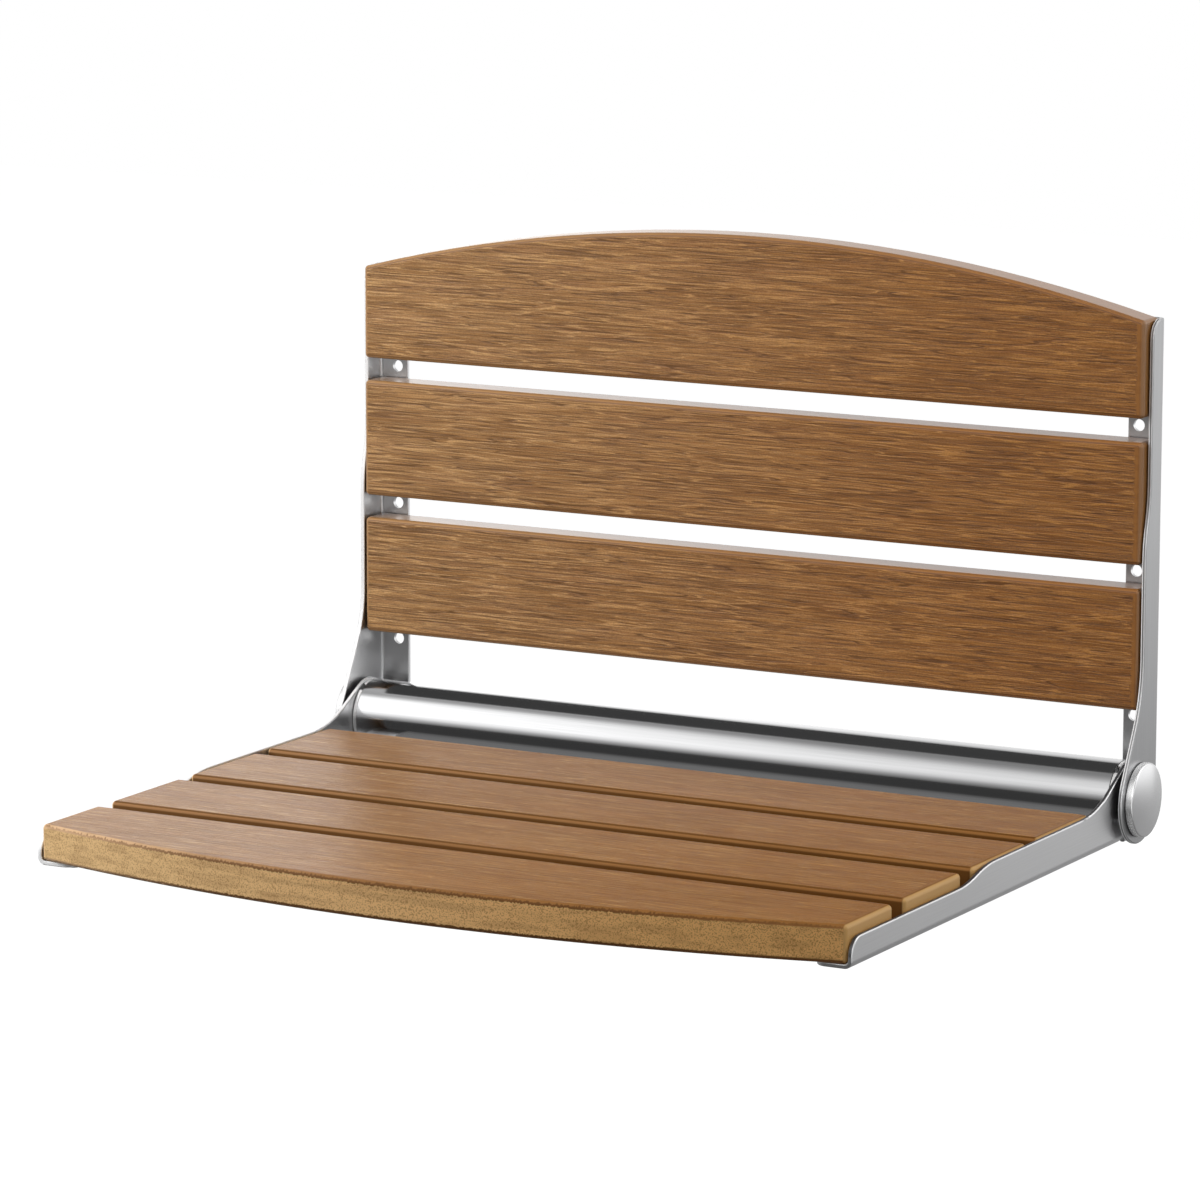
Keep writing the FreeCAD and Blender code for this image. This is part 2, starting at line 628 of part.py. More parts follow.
def build_slat(label, axes, base, length, width, bowed):
    """A slat with rounded edges and blind screw holes in the face that lies on the flanges."""
    body = new_body(label, axes, base)
    sketch = new_sketch(body, label + "_plan", "XY_Plane")
    half, depth = value_of(length) / 2, value_of(width)
    near = add_line(sketch, (-half, 0), (half, 0))
    right = add_line(sketch, (half, 0), (half, depth))
    left = add_line(sketch, (-half, depth), (-half, 0))
    if bowed:
        radius_expression = BOW_RADIUS.format(length)
        radius = value_of(radius_expression)
        centre = (0, depth + value_of("Sizes.bow_rise") - radius)
        spread = math.degrees(math.asin(half / radius))
        far = add_arc(sketch, centre, radius, 90 - spread, 90 + spread)
        dimension(sketch, "Radius", (far,), radius_expression)
    else:
        far = add_line(sketch, (half, depth), (-half, depth))
        constrain(sketch, "Horizontal", far)
    for first, second in ((near, right), (right, far), (far, left), (left, near)):
        join(sketch, "Coincident", (first, END), (second, START))
    constrain(sketch, "Horizontal", near)
    constrain(sketch, "Vertical", right)
    constrain(sketch, "Vertical", left)
    constrain(sketch, "PointOnObject", near, START, X_AXIS)
    pin_offset(sketch, "DistanceX", near, END, "%s / 2" % length)
    pin_offset(sketch, "DistanceX", near, START, "%s / 2" % length, -1)
    pin_offset(sketch, "DistanceY", right, END, width)
    if bowed:
        constrain(sketch, "Horizontal", far, START, far, END)

    board = pad(body, label + "_board", sketch, "Sizes.slat_thickness")
    fillet(body, label + "_edges", board, "Sizes.slat_edge")

    holes = new_sketch(body, label + "_screw_places", "XY_Plane")
    return body, holes


def finish_slat(body, holes, screw_line, width):
    """Cut the four screw holes, on the lines of the holes in the two flanges."""
    for x_sign in (-1, 1):
        for place in ("Sizes.screw_edge", "%s - Sizes.screw_edge" % width):
            add_circle(holes, screw_line, place, SCREW_RADIUS + " + Sizes.fit_clearance",
                       x_sign=x_sign)
    pocket(body, body.Label + "_screw_holes", holes,
           "Sizes.screw_bite + Sizes.side_clearance", reverse=True)


def build_slats():
    """Three slats on the brackets, bottom up, and four on the arms, from the pivot outwards."""
    back_line = "(Sizes.half_width - Sizes.hole_inset)"
    for count, label in enumerate(("back_slat_lower", "back_slat_middle", "back_slat_top")):
        height = "%s + %d * %s - %s" % (BACK_EDGE, count, PITCH, PIVOT_DROP)
        body, holes = build_slat(label, BACK_SLAT_AXES, ("0", "-Sizes.plate_thickness", height),
                                 BACK_SLAT_LENGTH, BACK_WIDTHS[count], label == "back_slat_top")
        finish_slat(body, holes, back_line, BACK_WIDTHS[count])

    seat_line = "(%s - Sizes.hole_inset)" % ARM_FACE
    under_side = "-%s - Sizes.slat_thickness" % PIVOT_DROP
    seat_labels = ("seat_slat_rear", "seat_slat_third", "seat_slat_second", "seat_slat_front")
    for count, label in enumerate(seat_labels):
        reach = "-%s - Sizes.rear_slat_start - %d * %s" % (PIVOT_FROM_WALL, count, PITCH)
        body, holes = build_slat(label, SEAT_SLAT_AXES, ("0", reach, under_side),
                                 SEAT_SLAT_LENGTH, SEAT_WIDTHS[count], label == "seat_slat_front")
        finish_slat(body, holes, seat_line, SEAT_WIDTHS[count])


def screw_shape(profile):
    """A screw about its own Z axis, from the corners (radius, along) of its half."""
    points = [Vector(radius, 0, along) for radius, along in profile]
    wire = Part.makePolygon(points + points[:1])
    return Part.Face(wire).revolve(Vector(), Vector(0, 0, 1), 360)


def screw_group(label, screw, places, direction):
    """Equal screws at many places, all pointing one way, as one group of solids."""
    group = document.addObject("Part::Feature", label)
    group.Label = label
    turn = Rotation(Vector(0, 0, 1), direction)
    copies = []
    for place in places:
        copy = screw.copy()
        copy.Placement = Placement(place, turn)
        copies.append(copy)
    group.Shape = Part.makeCompound(copies)
    group.Placement = Placement()
    subparts.append(group)


def build_slat_screws():
    """Flat-head screws through the brackets' flanges and pan-head screws under the seat."""
    plate = value_of("Sizes.plate_thickness")
    shank = value_of(SCREW_RADIUS)
    head = value_of("Sizes.screw_head / 2")
    tip = plate + value_of("Sizes.screw_bite")
    flat_head = [(0, 0), (head, 0), (shank, head - shank), (shank, tip - shank), (0, tip)]
    pan = value_of("Sizes.pan_height")
    pan_head = [(0, -pan), (head - pan / 2, -pan), (head, -pan / 2), (head, 0), (shank, 0),
                (shank, tip - shank), (0, tip)]

    back_x = value_of("Sizes.half_width - Sizes.hole_inset")
    seat_x = value_of("%s - Sizes.hole_inset" % ARM_FACE)
    pivot_y, pivot_z = -value_of(PIVOT_FROM_WALL), -value_of(PIVOT_DROP)
    under_z = pivot_z - value_of(SEAT_DEPTH)
    back_stations = [value_of(item) for item in slat_stations(BACK_EDGE, BACK_WIDTHS)]
    seat_stations = [value_of(item)
                     for item in slat_stations("Sizes.rear_slat_start", SEAT_WIDTHS)]
    back_places = [Vector(side * back_x, 0, pivot_z + station)
                   for side in (-1, 1) for station in back_stations]
    seat_places = [Vector(side * seat_x, pivot_y - station, under_z)
                   for side in (-1, 1) for station in seat_stations]
    screw_group("back_slat_screws", screw_shape(flat_head), back_places, Vector(0, -1, 0))
    screw_group("seat_slat_screws", screw_shape(pan_head), seat_places, Vector(0, 0, 1))


# ---------------------------------------------------------------- pivot


PIVOT = ("0", "-" + PIVOT_FROM_WALL, "-" + PIVOT_DROP)


def build_cross_tube():
    """Tube between the brackets' hubs, on the pivot's axis."""
    body = new_body("cross_tube", CROSS_AXES, PIVOT)
    sketch = new_sketch(body, "cross_tube_section", "YZ_Plane")
    add_circle(sketch, "0", "0", RING_RADIUS)
    add_circle(sketch, "0", "0", "%s - Sizes.tube_wall" % RING_RADIUS)
    pad(body, "cross_tube_length", sketch, "2 * %s" % TUBE_END, both_ways=True)


def build_tube_plug():
    """Threaded plug in the end of the tube, with a collar that carries the split ring."""
    inside = "%s - Sizes.tube_wall - Sizes.fit_clearance" % RING_RADIUS
    collar = "%s - Sizes.fit_clearance" % RING_BORE
    bore = "Sizes.bolt_thread / 2 + Sizes.fit_clearance"
    rear = "%s - Sizes.plug_length" % TUBE_END
    profile = [(rear, bore), (PLUG_FACE, bore), (PLUG_FACE, collar), (TUBE_END, collar),
               (TUBE_END, inside), (rear, inside)]
    mirror_to_left(turned_body("right_tube_plug", profile, PIVOT), "left_tube_plug")


def build_split_ring():
    """Flat ring between tube and arm, open at the front with rounded ends."""
    place = (PLUG_FACE, PIVOT[1], PIVOT[2])
    body = new_body("right_split_ring", RING_AXES, place)
    sketch = new_sketch(body, "right_split_ring_outline", "XY_Plane")
    outer_radius, bore = value_of(RING_RADIUS), value_of(RING_BORE)
    middle, tip = (outer_radius + bore) / 2, (outer_radius - bore) / 2
    direction, half_gap = value_of("Sizes.ring_angle"), value_of("Sizes.ring_opening / 2")
    first, last = direction + half_gap, direction - half_gap + 360

    def on_middle(angle):
        turn = math.radians(angle)
        return (middle * math.cos(turn), middle * math.sin(turn))

    outer = add_arc(sketch, (0, 0), outer_radius, first, last)
    lower_tip = add_arc(sketch, on_middle(last), tip, last, last + 180)
    inner = add_arc(sketch, (0, 0), bore, first, last)
    upper_tip = add_arc(sketch, on_middle(first), tip, first - 180, first)
    join(sketch, "Tangent", (outer, END), (lower_tip, START))
    join(sketch, "Tangent", (lower_tip, END), (inner, END))
    join(sketch, "Tangent", (inner, START), (upper_tip, START))
    join(sketch, "Tangent", (upper_tip, END), (outer, START))
    constrain(sketch, "Coincident", outer, CENTRE, *ORIGIN_POINT)
    constrain(sketch, "Coincident", inner, CENTRE, *ORIGIN_POINT)
    dimension(sketch, "Radius", (outer,), RING_RADIUS)
    dimension(sketch, "Radius", (inner,), RING_BORE)
    for tip_arc, sign in ((lower_tip, "-"), (upper_tip, "+")):
        pin_offset(sketch, "DistanceX", tip_arc, CENTRE,
                   "(%s + %s) / 2 * cos(Sizes.ring_angle %s Sizes.ring_opening / 2)"
                   % (RING_RADIUS, RING_BORE, sign))
    plate = pad(body, "right_split_ring_plate", sketch, "Sizes.ring_thickness")
    fillet(body, "right_split_ring_edges", plate, "Sizes.ring_edge")
    mirror_to_left(body, "left_split_ring")


def build_pivot_bolt():
    """Shoulder bolt: head outside the bracket, shoulder through bracket and arm, thread in plug."""
    head_face = "Sizes.half_width + Sizes.bolt_head_height"
    head = "Sizes.bolt_head / 2"
    thread = "Sizes.bolt_thread / 2"
    thread_end = "%s - Sizes.bolt_thread_length" % PLUG_FACE
    profile = [(thread_end, "0"), (head_face, "0"), (head_face, head), ("Sizes.half_width", head),
               ("Sizes.half_width", BOLT_RADIUS), (PLUG_FACE, BOLT_RADIUS), (PLUG_FACE, thread),
               (thread_end, thread)]
    body = turned_body("right_pivot_bolt", profile, PIVOT)
    socket = new_sketch(body, "right_pivot_bolt_socket_outline", "YZ_Plane", head_face)
    draw_hexagon(socket, "Sizes.bolt_socket")
    pocket(body, "right_pivot_bolt_socket", socket, "Sizes.socket_depth")
    mirror_to_left(body, "left_pivot_bolt")


def draw_hexagon(sketch, across_flats):
    """A regular hexagon about the origin, with two sides level."""
    reach = value_of(across_flats) / math.sqrt(3)
    corners = [(reach * math.cos(math.radians(60 * i)), reach * math.sin(math.radians(60 * i)))
               for i in range(6)]
    sides = [add_line(sketch, corners[i], corners[(i + 1) % 6]) for i in range(6)]
    rim = sketch.addGeometry(Part.Circle(Vector(), Vector(0, 0, 1), reach), True)
    constrain(sketch, "Coincident", rim, CENTRE, *ORIGIN_POINT)
    for i in range(6):
        join(sketch, "Coincident", (sides[i], END), (sides[(i + 1) % 6], START))
        constrain(sketch, "PointOnObject", sides[i], START, rim)
    for i in range(5):
        constrain(sketch, "Equal", sides[i], sides[i + 1])
    constrain(sketch, "PointOnObject", sides[0], START, X_AXIS)
    dimension(sketch, "Radius", (rim,), "%s / sqrt(3)" % across_flats)


def build_bush():
    """Plain bush in the arm's hub. Its flange keeps the arm off the bracket."""
    rim = "Sizes.bush_flange / 2"
    rim_face = "%s + Sizes.arm_gap - Sizes.side_clearance" % ARM_FACE
    profile = [(ARM_INNER_FACE, BUSH_BORE), (rim_face, BUSH_BORE), (rim_face, rim), (ARM_FACE, rim),
               (ARM_FACE, BUSH_RADIUS), (ARM_INNER_FACE, BUSH_RADIUS)]
    mirror_to_left(turned_body("right_pivot_bush", profile, PIVOT), "left_pivot_bush")


def build_stop_pin():
    """Pin pressed into the bracket. Its end stands in the slot of the arm."""
    inner_end = "%s + Sizes.side_clearance" % ARM_INNER_FACE
    profile = [(inner_end, "0"), ("Sizes.half_width", "0"), ("Sizes.half_width", PIN_RADIUS),
               (inner_end, PIN_RADIUS)]
    place = ("0", "%s - %s" % (PIVOT[1], STOP_FORWARD), "%s - %s" % (PIVOT[2], STOP_DOWN))
    mirror_to_left(turned_body("right_stop_pin", profile, place), "left_stop_pin")


def build_end_cap():
    """Cap that grips the bolt head: a rounded rim and a slightly domed face."""
    body = new_body("right_end_cap", CROSS_AXES, PIVOT)
    sketch = new_sketch(body, "right_end_cap_profile", "XY_Plane")
    radius_expression = "Sizes.cap_diameter / 2"
    mouth_expression = "Sizes.bolt_head / 2 + Sizes.fit_clearance"
    back_expression = "Sizes.half_width + Sizes.side_clearance"
    rim_expression = "Sizes.half_width + Sizes.cap_height"
    floor_expression = "Sizes.half_width + Sizes.bolt_head_height + Sizes.fit_clearance"
    dome_expression = ("((%s)^2 + Sizes.cap_dome^2) / (2 * Sizes.cap_dome)" % radius_expression)

    radius, mouth = value_of(radius_expression), value_of(mouth_expression)
    back, rim, floor = (value_of(text) for text in (back_expression, rim_expression,
                                                    floor_expression))
    dome = value_of(dome_expression)
    crown = rim + value_of("Sizes.cap_dome")
    spread = math.degrees(math.asin(radius / dome))

    back_face = add_line(sketch, (back, mouth), (back, radius))
    rim_side = add_line(sketch, (back, radius), (rim, radius))
    face = add_arc(sketch, (crown - dome, 0), dome, 0, spread)
    axis = add_line(sketch, (crown, 0), (floor, 0))
    pit = add_line(sketch, (floor, 0), (floor, mouth))
    mouth_side = add_line(sketch, (floor, mouth), (back, mouth))
    join(sketch, "Coincident", (back_face, END), (rim_side, START))
    join(sketch, "Coincident", (rim_side, END), (face, END))
    join(sketch, "Coincident", (face, START), (axis, START))
    join(sketch, "Coincident", (axis, END), (pit, START))
    join(sketch, "Coincident", (pit, END), (mouth_side, START))
    join(sketch, "Coincident", (mouth_side, END), (back_face, START))
    for upright in (back_face, pit):
        constrain(sketch, "Vertical", upright)
    for level in (rim_side, axis, mouth_side):
        constrain(sketch, "Horizontal", level)
    constrain(sketch, "PointOnObject", axis, END, X_AXIS)
    constrain(sketch, "PointOnObject", face, CENTRE, X_AXIS)
    pin_offset(sketch, "DistanceX", back_face, START, back_expression)
    pin_offset(sketch, "DistanceX", rim_side, END, rim_expression)
    pin_offset(sketch, "DistanceX", pit, START, floor_expression)
    pin_offset(sketch, "DistanceY", rim_side, END, radius_expression)
    pin_offset(sketch, "DistanceY", mouth_side, START, mouth_expression)
    dimension(sketch, "Radius", (face,), dome_expression)

    revolution = new_feature(body, "Revolution", "right_end_cap_turned", sketch)
    revolution.ReferenceAxis = (sketch, ["H_Axis"])
    revolution.Angle = 360
    fillet(body, "right_end_cap_rim", revolution, "Sizes.cap_edge", [Vector(rim, radius, 0)])
    mirror_to_left(body, "left_end_cap")


# ---------------------------------------------------------------- the whole seat


def check(shape_owner):
    """Stop if a sub-part failed to build."""
    shape = shape_owner.Shape
    if shape.isNull() or not shape.isValid() or not shape.Solids:
        raise RuntimeError("%s has no valid solid" % shape_owner.Label)


def main():
    fill_sheet()
    build_wall_bracket()
    build_seat_arm()
    build_slats()
    build_slat_screws()
    build_cross_tube()
    build_tube_plug()
    build_split_ring()
    build_pivot_bolt()
    build_bush()
    build_stop_pin()
    build_end_cap()
    document.recompute()

    for item in document.Objects:
        if "Invalid" in item.State or "Error" in item.State:
            raise RuntimeError("%s failed: %s" % (item.Name, item.State))
    for subpart in subparts:
        check(subpart)
    os.makedirs("parts", exist_ok=True)
    for subpart in subparts:
        subpart.Shape.exportStep(os.path.join("parts", subpart.Label + ".step"))
        print("%-20s %d solid(s) %10.1f mm3"
              % (subpart.Label, len(subpart.Shape.Solids), subpart.Shape.Volume))


main()
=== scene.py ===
import logging
import math
from dataclasses import dataclass
from enum import Enum
from typing import Callable, Dict, Iterable, List, Optional, Sequence, Tuple, Union

import bpy
from mathutils import Matrix, Vector


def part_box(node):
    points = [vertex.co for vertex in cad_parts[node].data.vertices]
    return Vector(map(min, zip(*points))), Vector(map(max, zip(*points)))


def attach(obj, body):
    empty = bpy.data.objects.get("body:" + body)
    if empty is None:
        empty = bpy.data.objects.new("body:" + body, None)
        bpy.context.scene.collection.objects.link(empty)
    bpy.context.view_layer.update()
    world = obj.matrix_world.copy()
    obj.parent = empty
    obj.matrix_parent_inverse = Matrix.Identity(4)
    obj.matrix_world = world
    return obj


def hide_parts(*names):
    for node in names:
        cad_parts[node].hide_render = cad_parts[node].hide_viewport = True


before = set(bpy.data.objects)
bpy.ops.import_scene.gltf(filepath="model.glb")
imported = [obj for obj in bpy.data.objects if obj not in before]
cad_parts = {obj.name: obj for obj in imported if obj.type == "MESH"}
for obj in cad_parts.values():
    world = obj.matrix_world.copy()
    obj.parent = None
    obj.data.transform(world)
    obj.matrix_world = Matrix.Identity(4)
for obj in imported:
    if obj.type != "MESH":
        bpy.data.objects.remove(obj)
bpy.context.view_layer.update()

LOG = logging.getLogger("wall_seat")
SIDES = ("left", "right")

# Metres within which a place counts as lying on a plane, and the share of a direction
# above which it runs along an axis, or below which it runs across it.
NEAR = 1e-6
ALONG = 0.9
CROSSWISE = 0.1

Colour = Tuple[float, float, float]
Point = Tuple[float, float, float]
Fade = Tuple[float, float]
Levels = Tuple[Tuple[float, float], ...]
Piece = bpy.types.Object
Material = bpy.types.Material
Socket = bpy.types.NodeSocket


class Axis(Enum):
    """An axis of the frame: X across the seat, Y into the wall, or Z up."""

    ACROSS = 0
    INWARD = 1
    UP = 2


# ------------------------------------------------------------------ shader kit


class Signal:
    """A number inside a shader, on which Python's operators add Math nodes."""

    def __init__(self, tree: "ShaderTree", socket: Socket) -> None:
        """Keep the socket that carries the number.

        Args:
            tree: The tree that new nodes go into.
            socket: The output that carries the number.
        """
        self.tree = tree
        self.socket = socket

    def joined(self, operation: str, first: "Number", second: "Number" = 0.0) -> "Signal":
        """Add one Math node.

        Args:
            operation: Blender's name of the operation.
            first: The node's first value.
            second: Its second value, where it has one.

        Returns:
            The node's result.
        """
        node = self.tree.add("ShaderNodeMath", {"operation": operation}, {0: first, 1: second})
        return Signal(self.tree, node.outputs[0])

    def __add__(self, other: "Number") -> "Signal":
        """Return this number plus another."""
        return self.joined("ADD", self, other)

    def __radd__(self, other: "Number") -> "Signal":
        """Return another number plus this one."""
        return self.joined("ADD", other, self)

    def __sub__(self, other: "Number") -> "Signal":
        """Return this number less another."""
        return self.joined("SUBTRACT", self, other)

    def __rsub__(self, other: "Number") -> "Signal":
        """Return another number less this one."""
        return self.joined("SUBTRACT", other, self)

    def __mul__(self, other: "Number") -> "Signal":
        """Return this number times another."""
        return self.joined("MULTIPLY", self, other)

    def __truediv__(self, other: "Number") -> "Signal":
        """Return this number over another."""
        return self.joined("DIVIDE", self, other)

    def __abs__(self) -> "Signal":
        """Return this number without its sign."""
        return self.joined("ABSOLUTE", self)

    def at_least(self, other: "Number") -> "Signal":
        """Return the larger of this number and another."""
        return self.joined("MAXIMUM", self, other)

    def between(self, low: float, high: float) -> "Signal":
        """Fade from 0 to 1.

        Args:
            low: Where the fade starts.
            high: Where it is complete.

        Returns:
            0 below low, 1 above high, and a smooth rise between them.
        """
        node = self.tree.add(
            "ShaderNodeMapRange",
            {"interpolation_type": "SMOOTHSTEP"},
            {"Value": self, "From Min": low, "From Max": high},
        )
        return Signal(self.tree, node.outputs[0])


Number = Union[float, Signal]
Link = Union[float, Sequence[float], Socket, Signal]
Settings = Dict[str, object]
Inputs = Dict[object, Link]


@dataclass(frozen=True)
class Pattern:
    """A noise: its periods per metre along each axis, the part used, its finer layers and its fade."""

    scale: Point
    shift: float
    detail: float = 2.0
    rough: float = 0.5
    fade: Fade = (0.0, 1.0)


class ShaderTree:
    """The nodes of one material or of the world."""

    def __init__(self, tree: bpy.types.NodeTree) -> None:
        """Start with an empty tree.

        Args:
            tree: The node tree to fill.
        """
        self.tree = tree
        self.tree.nodes.clear()

    def add(self, kind: str, settings: Settings, inputs: Inputs) -> bpy.types.Node:
        """Add one node.

        Args:
            kind: The node's type.
            settings: Its settings by name, and the stops of a ramp under "stops".
            inputs: What each input gets: a value, a socket or a signal.

        Returns:
            The new node.
        """
        node = self.tree.nodes.new(kind)
        for name, value in settings.items():
            if name == "stops":
                self.set_stops(node.color_ramp, value)
            else:
                setattr(node, name, value)
        for name, value in inputs.items():
            source = value.socket if isinstance(value, Signal) else value
            if isinstance(source, Socket):
                self.tree.links.new(source, node.inputs[name])
            else:
                node.inputs[name].default_value = source
        return node

    @staticmethod
    def set_stops(ramp: bpy.types.ColorRamp, stops: Iterable[Tuple[float, Colour]]) -> None:
        """Give a ramp its stops.

        Args:
            ramp: The ramp to fill.
            stops: Position and colour of each stop, in order.
        """
        while len(ramp.elements) > 1:
            ramp.elements.remove(ramp.elements[-1])
        for index, (position, colour) in enumerate(stops):
            element = ramp.elements[0] if index == 0 else ramp.elements.new(position)
            element.position = position
            element.color = (*colour, 1.0)

    def signal(self, kind: str, settings: Settings, inputs: Inputs, output: str) -> Signal:
        """Add a node and take one of its numbers.

        Args:
            kind: The node's type.
            settings: Its settings by name.
            inputs: What each input gets.
            output: The name of the output.

        Returns:
            That output as a signal.
        """
        return Signal(self, self.add(kind, settings, inputs).outputs[output])

    def place(self) -> Socket:
        """Return the point on the piece, in metres."""
        return self.add("ShaderNodeTexCoord", {}, {}).outputs["Object"]

    def part(self, vector: Socket, axis: Axis) -> Signal:
        """Return one part of a vector."""
        return Signal(self, self.add("ShaderNodeSeparateXYZ", {}, {0: vector}).outputs[axis.value])

    def along(self, axis: Axis) -> Signal:
        """Return how far the point lies along an axis, in metres."""
        return self.part(self.place(), axis)

    def facing(self, axis: Axis) -> Signal:
        """Return how squarely the surface looks along an axis, from 0 to 1."""
        normal = self.add("ShaderNodeTexCoord", {}, {}).outputs["Normal"]
        return abs(self.part(normal, axis))

    def stretched(self, scale: Point, shift: float) -> Socket:
        """Return the point on the piece, scaled and moved along each axis."""
        inputs = {"Vector": self.place(), "Scale": scale, "Location": (shift, shift, shift)}
        return self.add("ShaderNodeMapping", {}, inputs).outputs[0]

    def noise(self, pattern: Pattern, shift: float = 0.0) -> Signal:
        """Make noise.

        Args:
            pattern: What it is like.
            shift: How far it is moved on, so that no two boards are alike.

        Returns:
            The noise, about 0.5 on average.
        """
        place = self.stretched(pattern.scale, pattern.shift + shift)
        layers = {"Detail": pattern.detail, "Roughness": pattern.rough}
        return self.signal("ShaderNodeTexNoise", {}, {"Vector": place, "Scale": 1.0, **layers}, "Fac")

    def patches(self, pattern: Pattern, shift: float = 0.0) -> Signal:
        """Return a noise that fades in over its own range, to 1 in its patches."""
        return self.noise(pattern, shift).between(*pattern.fade)

    def mix(self, factor: Number, first: Link, second: Link, blend: str = "MIX") -> Socket:
        """Mix two colours.

        Args:
            factor: Share of the second colour.
            first: The first colour.
            second: The second colour.
            blend: How the second goes over the first.

        Returns:
            The mixed colour.
        """
        settings = {"data_type": "RGBA", "blend_type": blend}
        inputs = {0: factor, 6: self.opaque(first), 7: self.opaque(second)}
        return self.add("ShaderNodeMix", settings, inputs).outputs[2]

    @staticmethod
    def opaque(colour: Link) -> Link:
        """Return a colour with its alpha, or a socket as it is."""
        return (*colour, 1.0) if isinstance(colour, tuple) else colour

    def bump(self, height: Signal, distance: float) -> Socket:
        """Turn a height between 0 and 1 into a bent normal.

        Args:
            height: The height of the relief.
            distance: How high 1 is, in metres.

        Returns:
            The normal.
        """
        inputs = {"Height": height, "Distance": distance, "Strength": 1.0}
        return self.add("ShaderNodeBump", {}, inputs).outputs[0]

    def surface(self, **values: Link) -> None:
        """Finish the tree with one Principled shader.

        Args:
            **values: What its sockets get, under their names in small letters, such as base_color.
        """
        titles = {name: name.replace("_", " ").title().replace("Ior", "IOR") for name in values}
        inputs = {titles[name]: value for name, value in values.items()}
        inputs["Base Color"] = self.opaque(inputs["Base Color"])
        shader = self.add("ShaderNodeBsdfPrincipled", {}, inputs)
        self.add("ShaderNodeOutputMaterial", {}, {0: shader.outputs[0]})

    def seen(self) -> Signal:
        """Tell apart what is looked at and what only gives light.

        Returns:
            1 where the camera, a reflection or a clear material looks, else 0.
        """
        rays = self.add("ShaderNodeLightPath", {}, {}).outputs
        kinds = ("Is Camera Ray", "Is Glossy Ray", "Is Transmission Ray")
        camera, glossy, clear = (Signal(self, rays[kind]) for kind in kinds)
        return camera.at_least(glossy).at_least(clear)


def new_material(name: str) -> Tuple[Material, ShaderTree]:
    """Make an empty material.

    Args:
        name: The material's name.

    Returns:
        The material and its tree.
    """
    material = bpy.data.materials.new(name)
    material.use_nodes = True
    return material, ShaderTree(material.node_tree)


# ------------------------------------------------------------------ finishes


@dataclass(frozen=True)
class BoardColours:
    """The colours of one group of boards."""

    pale: Colour
    middle: Colour
    pink: Colour
    groove: Colour
    margin: Colour
    line: Colour
    core: Colour
    core_right: Colour
    core_dark: Colour
    # Painted sheen: a lighter rim colour towards the seat's left side.
    rim_left_painted_sheen: Colour
    end: Colour


@dataclass(frozen=True)
class Thread:
    """Thin lines where a noise has one level, which fade out beside that level."""

    level: float
    width: float = 0.026
    core: float = 0.006

    def on(self, noise: Signal) -> Signal:
        """Return 1 on the lines of a noise and 0 beside them."""
        return 1.0 - abs(noise - self.level).between(self.core, self.width)


